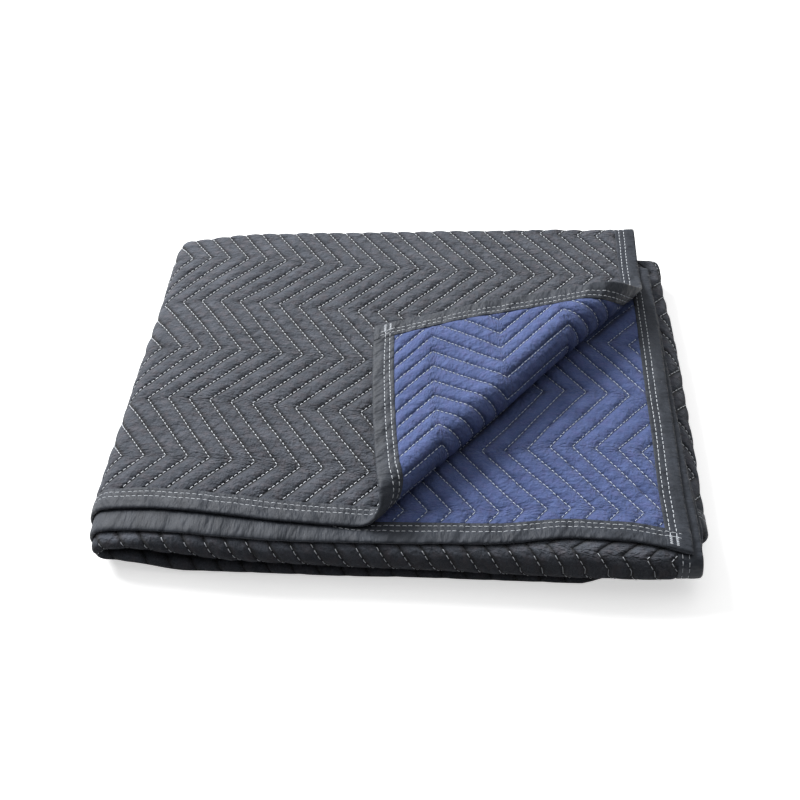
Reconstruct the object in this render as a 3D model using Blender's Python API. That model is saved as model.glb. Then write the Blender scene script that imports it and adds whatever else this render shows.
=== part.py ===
"""Quilted moving blanket, folded for storage with one corner turned back.

The blanket is two quilted cloths, black outside and blue inside, bound on all four edges with black tape.
Every piece is first worked out flat: u runs across the blanket's width from one side edge, v along its length
from one end, and w is the height above the middle of the quilt, positive on the black side.  The flat pieces are
then folded by one map: the length goes into quarters, the long strip that this gives goes into thirds, and the
front right corner of the top layer rolls back over itself.  Sizes are metres.
"""

import math

import bmesh
import bpy
import numpy as np
from mathutils import Vector
from mathutils.geometry import delaunay_2d_cdt

# Cut size of the blanket and the room that one quilted layer takes in the pile.
WIDTH = 1.829
LENGTH = 2.060
LAYER = 0.0052

# Heights above the middle of the quilt: the two cloths, and the tape that wraps their edges.
BLACK_TOP = 0.00235
BLACK_UNDER = -0.00015
BLUE_TOP = -0.00050
BLUE_UNDER = -0.00235
BLACK_TOP_IN_TAPE = 0.00100
BLUE_UNDER_IN_TAPE = -0.00120
TAPE_TOP = 0.00230
TAPE_TOP_INSIDE = 0.00130
TAPE_UNDER_INSIDE = -0.00150
TAPE_UNDER = -0.00240
TAPE_WIDTH = 0.025
TAPE_WRAP = 0.0014
TAPE_INSIDE_WRAP = 0.0004
TAPE_BUTT_GAP = 0.0003
MARGIN_THIN = 0.026
MARGIN_FULL = 0.032

# Quilting: zigzag stitch lines run along the length, side by side across the width.
STITCH_PITCH = 0.02515
ZIGZAG_SWING = 0.070
ROW_PITCH = 0.088455
FIRST_ROW = 0.073
LINE_ROWS = (-1.0, 5.0, 18.0, 23.0)
LINE_OFFSETS = (0.00747, -0.00876, 0.00360, 0.00360)
VALLEY = 0.0012
PUFF = 0.0006
BLUE_PUFF = 0.0002
EDGE_OF_QUILTING = 0.036
QUILT_FADE = 0.008

# Plan of the pile: the side folds, and the back folds as their places in the middle and their skew.
SAG = 0.010
TOP_RIGHT_EDGE = 0.2885
LEFT_FOLD = -0.3315 + 6.0 * LAYER - 0.5 * SAG
RIGHT_FOLD = 0.3315 - 4.0 * LAYER
RIGHT_FOLD_EASE = 0.0015
SAG_PLACES = (-0.3053, -0.2650, -0.2150)
SAG_DEPTHS = (-0.0100, -0.0040, 0.0000)
FRONT_OF_A = -0.2545
BACK_FOLD = 0.2515
BACK_SKEW = 0.086
LOW_BACK_SKEW = 0.0183
INNER_BACK_FOLD = 0.208
INNER_BACK_SKEW = -0.030

# Front of the pile's upper third, from left to right: the front edges of layers a and d, the soft roll between
# layers c and b, how far layer d and the roll are lifted, and half the height of the roll.
TOP_FRONT = [
    # place,  edge a,  edge d,    roll, lifted,  half height
    (-0.3053, -0.2395, -0.2630, -0.2775, 0.0000, 0.0045),
    (-0.2650, -0.2400, -0.2660, -0.2800, 0.0000, 0.0090),
    (-0.2150, -0.2450, -0.2705, -0.2825, 0.0000, 0.0122),
    (-0.0620, -0.2545, -0.2720, -0.2815, 0.0000, 0.0140),
    (+0.0985, -0.2545, -0.2650, -0.2795, 0.0010, 0.0150),
    (+0.1650, -0.2545, -0.2545, -0.2790, 0.0042, 0.0145),
    (+0.2350, -0.2545, -0.2560, -0.2780, 0.0040, 0.0140),
    (+0.3050, -0.2545, -0.2665, -0.2700, 0.0000, 0.0140),
]
# The same for the lower third, with the height of the roll's middle above the floor in place of the lift.
LOW_FRONT = [
    # place,  edge a,  edge d,    roll, middle,  half height
    (-0.3053, -0.2395, -0.2630, -0.2775, 0.0175, 0.0045),
    (-0.2703, -0.2400, -0.2260, -0.2795, 0.0156, 0.0026),
    (-0.2303, -0.2400, -0.2260, -0.2815, 0.0092, 0.0060),
    (-0.0500, -0.2400, -0.2260, -0.2765, 0.0081, 0.0050),
    (+0.2007, -0.2250, -0.2230, -0.2705, 0.0085, 0.0040),
    (+0.2382, -0.2200, -0.2090, -0.2565, 0.0120, 0.0036),
    (+0.2757, -0.2150, -0.1950, -0.2350, 0.0156, 0.0026),
    (+0.3107, -0.2150, -0.1950, -0.2320, 0.0156, 0.0026),
]
ROLL_DEPTH = 0.011
ROLL_EASE = 0.034
LIFT_START = -0.1915
LIFT_RUN = 0.0805

# The corner that is rolled back: its fold line in plan, and the roll's radius along it.
CORNER_FOLD_START = (-0.0195, -0.2233)
CORNER_FOLD_ANGLE = math.radians(52.8)
CORNER_FOLD_RUN = 0.500
ROLL_RADIUS_FRONT = 0.0169
ROLL_RADIUS_BACK = 0.0275
CORNER_DIP = math.radians(9.5)
CORNER_SLACK = 0.852
CORNER_SHEAR = 0.016
CORNER_FAN = 0.346
CORNER_REST = LAYER + 0.0010
FALL_SHARES = (0.0, 0.12, 0.24, 0.36, 0.48, 0.60, 0.70, 0.80, 0.90, 1.0)
CORNER_LENGTH = 0.46
CORNER_EDGE_RUN = 0.335

# How far the layers under the top one reach out beyond it at the pile's bound side.
STAGGER_B = 0.031
STAGGER_C = 0.026
STAGGER_D = 0.0143

NUDGE = 1.0e-6
TOLERANCE = 5.0e-5

# Heights of the layers in the strip, and where the strip turns along u.
LAYER_A = 3.5 * LAYER
LAYER_B = 0.5 * LAYER
LAYER_C = 1.5 * LAYER
LAYER_D = 2.5 * LAYER
LEFT_RADIUS = 2.0 * LAYER - 0.5 * SAG
LEFT_TURN = TOP_RIGHT_EDGE - LEFT_FOLD
LEFT_TURN_END = LEFT_TURN + math.pi * (LEFT_RADIUS + LAYER_A)
RIGHT_TURN = LEFT_TURN_END + RIGHT_FOLD - LEFT_FOLD
RIGHT_TURN_END = RIGHT_TURN + math.pi * LAYER_A

BACK_ARC = math.pi * 1.5 * LAYER
INNER_ARC = math.pi * 0.5 * LAYER
EASE_LENGTH = 1.04 * ROLL_EASE

MATERIALS = {
    "black_cloth": ((0.075, 0.082, 0.092), 0.88),
    "blue_cloth": ((0.085, 0.125, 0.300), 0.86),
    "black_tape": ((0.062, 0.067, 0.072), 0.80),
}


def plan_x(u):
    """Place across the pile of a point u along the strip, with the turns taken at their fold lines."""
    top = TOP_RIGHT_EDGE - u
    middle = LEFT_FOLD + u - LEFT_TURN_END
    third = RIGHT_FOLD - (u - RIGHT_TURN_END)
    return np.where(u < LEFT_TURN, top, np.where(
        u < LEFT_TURN_END, LEFT_FOLD, np.where(u < RIGHT_TURN, middle, np.where(
            u < RIGHT_TURN_END, RIGHT_FOLD, third))))


def front_sizes(u):
    """Sizes of the strip's front side at u: edges of a and d, roll front, depth, half height and middle."""
    x = plan_x(u)
    top = np.array(TOP_FRONT).T
    low = np.array(LOW_FRONT).T
    x_low = np.where(u < RIGHT_TURN_END, x, RIGHT_FOLD)
    is_top = u < 0.5 * (LEFT_TURN + LEFT_TURN_END)
    edge_a = np.where(is_top, np.interp(x, top[0], top[1]), np.interp(x_low, low[0], low[1]))
    edge_d = np.where(is_top, np.interp(x, top[0], top[2]), np.interp(x_low, low[0], low[2]))
    roll = np.where(is_top, np.interp(x, top[0], top[3]), np.interp(x_low, low[0], low[3]))
    half = np.where(is_top, np.interp(x, top[0], top[5]), np.interp(x_low, low[0], low[5]))
    middle = np.where(is_top, LAYER_C - half, 4.0 * LAYER - np.interp(x_low, low[0], low[4]))
    return edge_a, edge_d, roll, np.minimum(ROLL_DEPTH, half), half, middle


def back_places(u):
    """Depths of the centres of the outer and the inner back fold at u."""
    x = plan_x(u)
    skew = np.where(u < LEFT_TURN, BACK_SKEW, LOW_BACK_SKEW)
    return BACK_FOLD + BACK_SKEW * LEFT_FOLD + skew * (x - LEFT_FOLD), INNER_BACK_FOLD + INNER_BACK_SKEW * x


def fold_places(u):
    """Values of v at which the strip's cross-section changes, in order along the length, at u."""
    edge_a, edge_d, roll, depth, half, _ = front_sizes(u)
    back, inner = back_places(u)
    eased = roll + depth + ROLL_EASE
    arc = math.pi * np.sqrt(0.5 * (depth * depth + half * half))
    v1 = back - edge_a
    v2 = v1 + BACK_ARC
    v8 = LENGTH - (inner - edge_d)
    v7 = v8 - INNER_ARC
    hidden = v7 - v2 - arc - 2.0 * EASE_LENGTH
    v3 = v2 + hidden * (back - eased) / (back + inner - 2.0 * eased)
    v4 = v3 + EASE_LENGTH
    v5 = v4 + arc
    v6 = v5 + EASE_LENGTH
    return v1, v2, v3, v4, v5, v6, v7, v8


def ease(share):
    """Goes smoothly from 0 to 1 as the share does."""
    k = np.clip(share, 0.0, 1.0)
    return k * k * (3.0 - 2.0 * k)


def strip_section(u, v):
    """Middle line of the quilt in the strip's cross-section: depth y and height above the strip's underside."""
    edge_a, edge_d, roll, depth, half, middle = front_sizes(u)
    v1, v2, v3, v4, v5, v6, v7, v8 = fold_places(u)
    back, inner = back_places(u)
    roll_y = roll + depth
    eased = roll_y + ROLL_EASE

    y = edge_a + v
    h = np.full_like(y, LAYER_A)

    turn = math.pi * (v - v1) / (v2 - v1)
    on = (v > v1) & (v <= v2)
    y = np.where(on, back + 1.5 * LAYER * np.sin(turn), y)
    h = np.where(on, 2.0 * LAYER + 1.5 * LAYER * np.cos(turn), h)

    on = (v > v2) & (v <= v3)
    y = np.where(on, back - (v - v2) / (v3 - v2) * (back - eased), y)
    h = np.where(on, LAYER_B, h)

    share = (v - v3) / (v4 - v3)
    on = (v > v3) & (v <= v4)
    y = np.where(on, eased - ROLL_EASE * share, y)
    h = np.where(on, LAYER_B + (middle - half - LAYER_B) * ease(share), h)

    turn = math.pi * (v - v4) / (v5 - v4)
    on = (v > v4) & (v <= v5)
    y = np.where(on, roll_y - depth * np.sin(turn), y)
    h = np.where(on, middle - half * np.cos(turn), h)

    share = (v - v5) / (v6 - v5)
    on = (v > v5) & (v <= v6)
    y = np.where(on, roll_y + ROLL_EASE * share, y)
    h = np.where(on, middle + half + (LAYER_C - middle - half) * ease(share), h)

    on = (v > v6) & (v <= v7)
    y = np.where(on, eased + (v - v6) / (v7 - v6) * (inner - eased), y)
    h = np.where(on, LAYER_C, h)

    turn = math.pi * (v - v7) / (v8 - v7)
    on = (v > v7) & (v <= v8)
    y = np.where(on, inner + 0.5 * LAYER * np.sin(turn), y)
    h = np.where(on, 2.0 * LAYER - 0.5 * LAYER * np.cos(turn), h)

    on = v > v8
    y = np.where(on, inner - (v - v8), y)
    h = np.where(on, LAYER_D, h)

    shift = stagger((v1, v2, v3, v4, v5, v6, v7, v8), v)
    top = np.array(TOP_FRONT).T
    lift = np.interp(TOP_RIGHT_EDGE - u + shift - STAGGER_D, top[0], top[4])
    lift = lift * np.clip((LIFT_START - y) / LIFT_RUN, 0.0, 1.0)
    return y, h + np.where((v > 0.5 * (v4 + v5)) & (u < LEFT_TURN), lift, 0.0), shift


def stagger(places, v):
    """How much further than the top layer the strip reaches out at the bound side, at v."""
    _, v2, v3, _, v5, v6, v7, _ = places
    shift = STAGGER_B * np.clip((v - v2) / (v3 - v2), 0.0, 1.0)
    shift = shift + (STAGGER_C - STAGGER_B) * np.clip((v - v3) / (v5 - v3), 0.0, 1.0)
    return shift + (STAGGER_D - STAGGER_C) * np.clip((v - v6) / (v7 - v6), 0.0, 1.0)


def turn_strip(u, h, shift):
    """Folds the strip into thirds: place across the pile and height, for a point h above its underside."""
    start = LEFT_TURN + shift
    top = u <= start
    left = (u > start) & (u <= LEFT_TURN_END)
    middle = (u > LEFT_TURN_END) & (u <= RIGHT_TURN)
    right = (u > RIGHT_TURN) & (u <= RIGHT_TURN_END)
    turn_l = math.pi * (u - start) / (LEFT_TURN_END - start)
    turn_r = math.pi * (u - RIGHT_TURN) / (RIGHT_TURN_END - RIGHT_TURN)
    radius = LEFT_RADIUS + h
    x = RIGHT_FOLD - (u - RIGHT_TURN_END)
    z = 4.0 * LAYER + h
    top_x = TOP_RIGHT_EDGE + shift - u
    x = np.where(top, top_x, x)
    z = np.where(top, 8.0 * LAYER + h + np.interp(top_x, SAG_PLACES, SAG_DEPTHS), z)
    x = np.where(left, LEFT_FOLD - radius * np.sin(turn_l), x)
    z = np.where(left, 6.0 * LAYER - 0.5 * SAG + radius * np.cos(turn_l), z)
    x = np.where(middle, LEFT_FOLD + u - LEFT_TURN_END, x)
    z = np.where(middle, 4.0 * LAYER - h, z)
    x = np.where(right, RIGHT_FOLD + (h + RIGHT_FOLD_EASE) * np.sin(turn_r), x)
    z = np.where(right, 4.0 * LAYER - h * np.cos(turn_r), z)
    return x, z


def corner_axes():
    """Unit vectors in plan along the corner's fold line and outwards across it."""
    along = np.array([math.cos(CORNER_FOLD_ANGLE), math.sin(CORNER_FOLD_ANGLE)])
    across = np.array([math.sin(CORNER_FOLD_ANGLE), -math.cos(CORNER_FOLD_ANGLE)])
    return along, across


def corner_place(x, y):
    """Distances of a plan point along and across the corner's fold line."""
    along, across = corner_axes()
    dx = x - CORNER_FOLD_START[0]
    dy = y - CORNER_FOLD_START[1]
    return dx * along[0] + dy * along[1], dx * across[0] + dy * across[1]


def corner_radius(t):
    """Radius of the roll at a distance t along its fold line."""
    return ROLL_RADIUS_FRONT + (ROLL_RADIUS_BACK - ROLL_RADIUS_FRONT) * t / CORNER_FOLD_RUN


def corner_profile(t, across):
    """Cross-section of the roll: over an arc of a little more than half a turn, then down on to the pile."""
    radius = corner_radius(t)
    sweep = math.pi + CORNER_DIP
    turn = np.clip(across / radius, 0.0, sweep)
    reach = radius * np.sin(turn)
    rise = radius * (1.0 - np.cos(turn))
    over = np.clip(across - sweep * radius, 0.0, None)
    top = radius * (1.0 + math.cos(CORNER_DIP))
    fall = 2.0 * (top - CORNER_REST) / math.tan(CORNER_DIP)
    left = np.interp(over / fall, FALL_SHARES, [(1.0 - share) ** 2 for share in FALL_SHARES])
    reach = np.where(over > 0.0, -radius * math.sin(CORNER_DIP) - CORNER_SLACK * over, reach)
    rise = np.where(over > 0.0, CORNER_REST + (top - CORNER_REST) * left, rise)
    return np.where(across < 0.0, across, reach), np.where(across < 0.0, 0.0, rise), over


def roll_corner(x, y, w):
    """Rolls back the corner of the top layer, for plan points x, y at a height w above its middle."""
    along, across = corner_axes()
    t, d = corner_place(x, y)
    reach, rise, over = corner_profile(t, d)
    ahead_reach, ahead_rise, _ = corner_profile(t, d + 1.0e-5)
    behind_reach, behind_rise, _ = corner_profile(t, d - 1.0e-5)
    slope_reach = ahead_reach - behind_reach
    slope_rise = ahead_rise - behind_rise
    size = np.hypot(slope_reach, slope_rise)
    reach = reach - w * slope_rise / size
    rise = rise + w * slope_reach / size
    t = t + (CORNER_SHEAR + CORNER_FAN * t / CORNER_FOLD_RUN) * over
    new_x = CORNER_FOLD_START[0] + t * along[0] + reach * across[0]
    new_y = CORNER_FOLD_START[1] + t * along[1] + reach * across[1]
    return new_x, new_y, 8.0 * LAYER + LAYER_A + rise


def fold(u, v, w):
    """Carries flat points of the blanket to their place in the folded pile."""
    u = np.asarray(u, float)
    v = np.asarray(v, float)
    w = np.asarray(w, float)
    step = 1.0e-5
    y, h, shift = strip_section(u, v)
    y_ahead, h_ahead, _ = strip_section(u, v + step)
    y_behind, h_behind, _ = strip_section(u, v - step)
    run_y = y_ahead - y_behind
    run_h = h_ahead - h_behind
    size = np.hypot(run_y, run_h)
    y_w = y - w * run_h / size
    h_w = h + w * run_y / size
    x_w, z_w = turn_strip(u, h_w, shift)
    flat_x = TOP_RIGHT_EDGE - u
    t, d = corner_place(flat_x, y)
    in_corner = (u < LEFT_TURN) & (v < CORNER_LENGTH) & (d > 0.0)
    corner_x, corner_y, corner_z = roll_corner(flat_x, y, w)
    x_w = np.where(in_corner, corner_x, x_w)
    y_w = np.where(in_corner, corner_y, y_w)
    z_w = np.where(in_corner, corner_z, z_w)
    return np.stack([x_w, y_w, z_w], axis=-1)


def zigzag(v):
    """Sideways swing of the stitch lines at v, from minus one to one half of the swing either way."""
    phase = (v - FIRST_ROW) / ROW_PITCH
    return -0.5 * ZIGZAG_SWING * (1.0 - 2.0 * np.abs((phase + 1.0) % 2.0 - 1.0))


def line_offset(v):
    """Slow sideways drift of the stitch lines along the length, straight between rows of bends."""
    return np.interp((v - FIRST_ROW) / ROW_PITCH, LINE_ROWS, LINE_OFFSETS)


def quilt_height(u, v, valley, puff):
    """Height of the quilted face: lowest on a stitch line, highest halfway to the next."""
    phase = (u - line_offset(v) - zigzag(v)) / STITCH_PITCH
    between = 2.0 * np.abs(phase - np.round(phase))
    return -valley + (valley + puff) * between


class Zone:
    """Convex area of the flat blanket, as half planes a*u + b*v <= c, in which the quilting is raised."""

    def __init__(self, *sides):
        """Keeps the sides with unit normals."""
        self.sides = []
        for a, b, c in sides:
            size = math.hypot(a, b)
            self.sides.append((a / size, b / size, c / size))

    def depth(self, u, v):
        """Distance inside the zone, negative outside."""
        return np.min([c - a * u - b * v for a, b, c in self.sides], axis=0)

    def clip(self, start, end, inset):
        """Part of a segment that lies deeper than inset in the zone, or None."""
        low, high = 0.0, 1.0
        for a, b, c in self.sides:
            d0 = c - inset - a * start[0] - b * start[1]
            d1 = c - inset - a * end[0] - b * end[1]
            if d0 < 0.0 and d1 < 0.0:
                return None
            if d0 < 0.0:
                low = max(low, d0 / (d0 - d1))
            elif d1 < 0.0:
                high = min(high, d0 / (d0 - d1))
        if high - low < 1.0e-4:
            return None
        return low, high


def box_zone(u0, u1, v0, v1, *more):
    """Rectangular zone with further sides."""
    return Zone((-1.0, 0.0, -u0), (1.0, 0.0, u1), (0.0, -1.0, -v0), (0.0, 1.0, v1), *more)


def line_side(u, v, beyond):
    """Half plane on one side of the line through two points, given by their values of u and of v."""
    slope = float((v[1] - v[0]) / (u[1] - u[0]))
    start = float(v[0] - slope * u[0])
    return (slope, -1.0, -start) if beyond else (-slope, 1.0, start)


def corner_side(distance, outwards):
    """Half plane of the flat top layer on one side of a line parallel to the corner's fold line."""
    along, across = corner_axes()
    a = -across[0]
    b = across[1]
    c = distance - across[0] * (TOP_RIGHT_EDGE - CORNER_FOLD_START[0]) - across[1] * (
        FRONT_OF_A - CORNER_FOLD_START[1])
    return (-a, -b, -c) if outwards else (a, b, c)


def stitch_segments(zone):
    """Pieces of the stitch lines, and of the crowns between them, that lie in a zone."""
    pieces = []
    rows = range(-1, int(LENGTH / ROW_PITCH) + 2)
    lines = range(-6, int(2.0 * WIDTH / STITCH_PITCH) + 6)
    for row in rows:
        v0 = FIRST_ROW + row * ROW_PITCH
        v1 = v0 + ROW_PITCH
        for line in lines:
            middle = 0.5 * line * STITCH_PITCH
            start = (middle + float(line_offset(v0) + zigzag(v0)), v0)
            end = (middle + float(line_offset(v1) + zigzag(v1)), v1)
            outer = zone.clip(start, end, 0.0)
            if outer is None:
                continue
            stops = [outer[0], outer[1]]
            inner = zone.clip(start, end, QUILT_FADE)
            if inner is not None:
                stops = [outer[0], inner[0], inner[1], outer[1]]
            places = [(start[0] + k * (end[0] - start[0]), start[1] + k * (end[1] - start[1])) for k in stops]
            for first, second in zip(places, places[1:]):
                if math.dist(first, second) > TOLERANCE:
                    pieces.append((first, second))
    return pieces


def stations_u(shift):
    """Places across the width where the flat mesh has a line, for a layer that is shifted so far."""
    start = LEFT_TURN + shift
    front = [TOP_RIGHT_EDGE - STAGGER_D + shift - row[0] for row in TOP_FRONT[-2:2:-1]]
    places = [0.0 * shift + u for u in (0.0, MARGIN_THIN, MARGIN_FULL, *front)]
    places += [TOP_RIGHT_EDGE + shift - x for x in SAG_PLACES[:0:-1]]
    places += [start + k * (LEFT_TURN_END - start) for k in np.linspace(0.0, 1.0, 7)]
    places += [0.0 * shift + LEFT_TURN_END + row[0] - LEFT_FOLD for row in LOW_FRONT[1:-1]]
    places += [0.0 * shift + RIGHT_TURN + k * (RIGHT_TURN_END - RIGHT_TURN) for k in np.linspace(0.0, 1.0, 6)]
    places += [0.0 * shift + WIDTH - inset for inset in (MARGIN_FULL, MARGIN_THIN, 0.0)]
    return places


def stations_v(u):
    """Places along the length where the flat mesh has a line, for each value of u."""
    v1, v2, v3, v4, v5, v6, v7, v8 = fold_places(u)
    rows = [0.0 * u, 0.0 * u + MARGIN_THIN, 0.0 * u + MARGIN_FULL]
    rows += [v1 + k * (v2 - v1) for k in np.linspace(0.0, 1.0, 7)]
    rows += [v3 + k * (v4 - v3) for k in (0.0, 0.33, 0.67)]
    rows += [v4 + k * (v5 - v4) for k in np.linspace(0.0, 1.0, 7)]
    rows += [v5 + k * (v6 - v5) for k in (0.33, 0.67, 1.0)]
    rows += [v6 + 0.0415]
    rows += [v7 + k * (v8 - v7) for k in np.linspace(0.0, 1.0, 5)]
    rows += [0.0 * u + LENGTH - inset for inset in (0.061, MARGIN_FULL, MARGIN_THIN, 0.0)]
    return rows


def corner_lines():
    """Rulings of the corner's roll, as pairs of factors: distance across = factor * radius + constant."""
    sweep = math.pi + CORNER_DIP
    lines = [(sweep * k / 7.0, 0.0) for k in range(8)]
    slope = 2.0 / math.tan(CORNER_DIP)
    for share in FALL_SHARES[1:]:
        factor = sweep + share * slope * (1.0 + math.cos(CORNER_DIP))
        lines.append((factor, -share * slope * CORNER_REST))
    return lines


def ruling_crossing(factor, constant, x=None, y=None):
    """Where a ruling of the roll meets a line of constant x or constant y in plan."""
    along, across = corner_axes()
    growth = (ROLL_RADIUS_BACK - ROLL_RADIUS_FRONT) / CORNER_FOLD_RUN
    ax = across[0] - factor * growth * along[0]
    ay = across[1] - factor * growth * along[1]
    c = factor * ROLL_RADIUS_FRONT + constant
    if x is None:
        return CORNER_FOLD_START[0] + (c - ay * (y - CORNER_FOLD_START[1])) / ax
    return CORNER_FOLD_START[1] + (c - ax * (x - CORNER_FOLD_START[0])) / ay


def ruling_segments():
    """The roll's rulings in the flat top layer, from its front edge to its side edge."""
    pieces = []
    for factor, constant in corner_lines():
        u_front = TOP_RIGHT_EDGE - ruling_crossing(factor, constant, y=FRONT_OF_A)
        v_side = ruling_crossing(factor, constant, x=TOP_RIGHT_EDGE) - FRONT_OF_A
        if u_front > 0.0 and v_side > 0.0:
            pieces.append(((u_front, 0.0), (0.0, v_side)))
    return pieces


def cross_segments():
    """Lines across the corner's roll in the flat top layer, from the fold line to just inside the tapes."""
    along, across = corner_axes()
    pieces = []
    for t in (0.12, 0.22, 0.32, 0.42, 0.50):
        x = CORNER_FOLD_START[0] + t * along[0]
        y = CORNER_FOLD_START[1] + t * along[1]
        room_u = (TOP_RIGHT_EDGE - MARGIN_FULL - NUDGE - x) / across[0]
        room_v = (FRONT_OF_A + MARGIN_FULL + NUDGE - y) / across[1]
        run = min(room_u, room_v)
        if run > 0.0:
            end = (x + run * across[0], y + run * across[1])
            pieces.append(((TOP_RIGHT_EDGE - x, y - FRONT_OF_A), (TOP_RIGHT_EDGE - end[0], end[1] - FRONT_OF_A)))
    return pieces


def flat_grid():
    """Crossings of the two families of lines, as arrays of u and v with a row for each line along the width."""
    columns = len(stations_u(np.zeros(1)))
    rows = len(stations_v(np.zeros(1)))
    u = np.tile(np.array(stations_u(np.array(0.0))), (rows, 1))
    for _ in range(6):
        v = np.array([stations_v(u[i])[i] for i in range(rows)])
        _, _, shift = strip_section(u, v)
        u = np.array([stations_u(shift[:, j])[j] for j in range(columns)]).T
    v = np.array([stations_v(u[i])[i] for i in range(rows)])
    return u, v


def flat_skin(extra):
    """Triangles of the flat blanket with an edge along every fold line and along the extra segments."""
    u, v = flat_grid()
    points, edges, above = [], [], {}
    for i in range(len(u)):
        before = None
        for j in range(len(u[0])):
            if v[i, j] < CORNER_LENGTH and MARGIN_FULL + NUDGE < u[i, j] < CORNER_EDGE_RUN:
                continue
            k = len(points)
            points.append((float(u[i, j]), float(v[i, j])))
            edges += [(k, other) for other in (before, above.get(j)) if other is not None]
            before = above[j] = k
    for start, end in extra:
        edges.append((len(points), len(points) + 1))
        points.extend([start, end])
    result = delaunay_2d_cdt([Vector(p) for p in points], edges, [], 0, TOLERANCE)
    return np.array([(p.x, p.y) for p in result[0]]), [tuple(f) for f in result[2]]


def border(faces):
    """Edges that belong to one face only, each in its face's direction."""
    seen = {}
    for face in faces:
        for a, b in zip(face, face[1:] + face[:1]):
            seen[(a, b)] = seen.get((a, b), 0) + 1
    return [edge for edge in seen if (edge[1], edge[0]) not in seen]


def margin(u, v):
    """Goes from 0 under the tape to 1 in the open quilt."""
    inside = np.minimum(np.minimum(u, WIDTH - u), np.minimum(v, LENGTH - v))
    return np.clip((inside - MARGIN_THIN) / (MARGIN_FULL - MARGIN_THIN), 0.0, 1.0)


def zone_share(u, v, zones):
    """1 inside any zone of raised quilting and 0 outside, with a short fade."""
    share = np.zeros_like(u)
    for zone in zones:
        share = np.maximum(share, np.clip(zone.depth(u, v) / QUILT_FADE, 0.0, 1.0))
    return share


def make_object(name, points, faces, material):
    """Adds a closed piece with its faces pointing out."""
    mesh = bpy.data.meshes.new(name)
    mesh.from_pydata([tuple(p) for p in points], [], faces)
    work = bmesh.new()
    work.from_mesh(mesh)
    bmesh.ops.triangulate(work, faces=work.faces[:])
    bmesh.ops.recalc_face_normals(work, faces=work.faces[:])
    work.to_mesh(mesh)
    work.free()
    mesh.materials.append(bpy.data.materials[material])
    piece = bpy.data.objects.new(name, mesh)
    bpy.context.scene.collection.objects.link(piece)
    return piece


def make_cloth(name, material, raised_zones, raised_up, raised_height, plain_height):
    """One quilted cloth: a raised face, a plain face and the narrow wall between them at its edges."""
    rulings = ruling_segments() + cross_segments()
    stitches = [piece for zone in raised_zones for piece in stitch_segments(zone)]
    face_points, face_faces = flat_skin(rulings + stitches)
    back_points, back_faces = flat_skin(rulings)
    u, v = face_points.T
    raised = fold(u, v, raised_height(u, v, zone_share(u, v, raised_zones), raised_up))
    u, v = back_points.T
    plain = fold(u, v, plain_height(u, v))
    count = len(face_points)
    keys = {(round(float(p[0]), 6), round(float(p[1]), 6)): k for k, p in enumerate(back_points)}
    matching = {}
    rim = border(face_faces)
    for a, b in rim:
        for k in (a, b):
            key = (round(float(face_points[k][0]), 6), round(float(face_points[k][1]), 6))
            matching[k] = count + keys[key]
    faces = list(face_faces)
    faces += [tuple(count + k for k in reversed(face)) for face in back_faces]
    faces += [(b, a, matching[a], matching[b]) for a, b in rim]
    return make_object(name, np.concatenate([raised, plain]), faces, material)


def black_height(u, v, share, up):
    """Height of the black cloth's quilted face."""
    full = BLACK_TOP + share * quilt_height(u, v, VALLEY, up)
    return BLACK_TOP_IN_TAPE + (full - BLACK_TOP_IN_TAPE) * margin(u, v)


def blue_height(u, v, share, up):
    """Height of the blue cloth's quilted face."""
    full = BLUE_UNDER - share * quilt_height(u, v, VALLEY, up)
    return BLUE_UNDER_IN_TAPE + (full - BLUE_UNDER_IN_TAPE) * margin(u, v)


def tape_section():
    """Cross-section of the tape as (distance in from the cloth's edge, height), round the edge and back."""
    return [
        (TAPE_WIDTH, TAPE_TOP), (0.0015, TAPE_TOP), (-TAPE_WRAP, 0.0010), (-TAPE_WRAP, -0.0011),
        (0.0015, TAPE_UNDER), (TAPE_WIDTH, TAPE_UNDER), (TAPE_WIDTH, TAPE_UNDER_INSIDE),
        (-TAPE_INSIDE_WRAP, TAPE_UNDER_INSIDE), (-TAPE_INSIDE_WRAP, TAPE_TOP_INSIDE),
        (TAPE_WIDTH, TAPE_TOP_INSIDE)]


def make_tape(name, rings):
    """Lofts the tape's section through its rings and closes both ends."""
    sides = len(rings[0])
    points = np.concatenate(rings)
    faces = []
    for r in range(len(rings) - 1):
        for k in range(sides):
            after = (k + 1) % sides
            faces.append((r * sides + k, r * sides + after, (r + 1) * sides + after, (r + 1) * sides + k))
    last = (len(rings) - 1) * sides
    faces.append(tuple(range(sides)))
    faces.append(tuple(last + k for k in reversed(range(sides))))
    return make_object(name, points, faces, "black_tape")


def clear_rows(plain, slanted):
    """All the slanted rows, and those plain rows that none of them touches, in order."""
    kept = [row for row in plain if all(
        np.max(row) < np.min(other) - NUDGE or np.min(row) > np.max(other) + NUDGE for other in slanted)]
    return sorted(kept + slanted, key=lambda row: float(np.sum(row)))


def end_tape(name, at_start):
    """Tape along one end of the blanket, across its whole width."""
    section = tape_section()
    inward = np.array([e for e, _ in section])
    height = np.array([h for _, h in section])
    v = inward if at_start else LENGTH - inward
    plain = stations_u(np.full_like(v, 0.0 if at_start else STAGGER_D))
    slanted = []
    if at_start:
        for factor, constant in corner_lines():
            row = np.array([TOP_RIGHT_EDGE - ruling_crossing(factor, constant, y=FRONT_OF_A + e) for e in inward])
            if row.min() > 0.0:
                slanted.append(row)
    return make_tape(name, [fold(row, v, height) for row in clear_rows(plain, slanted)])


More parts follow.
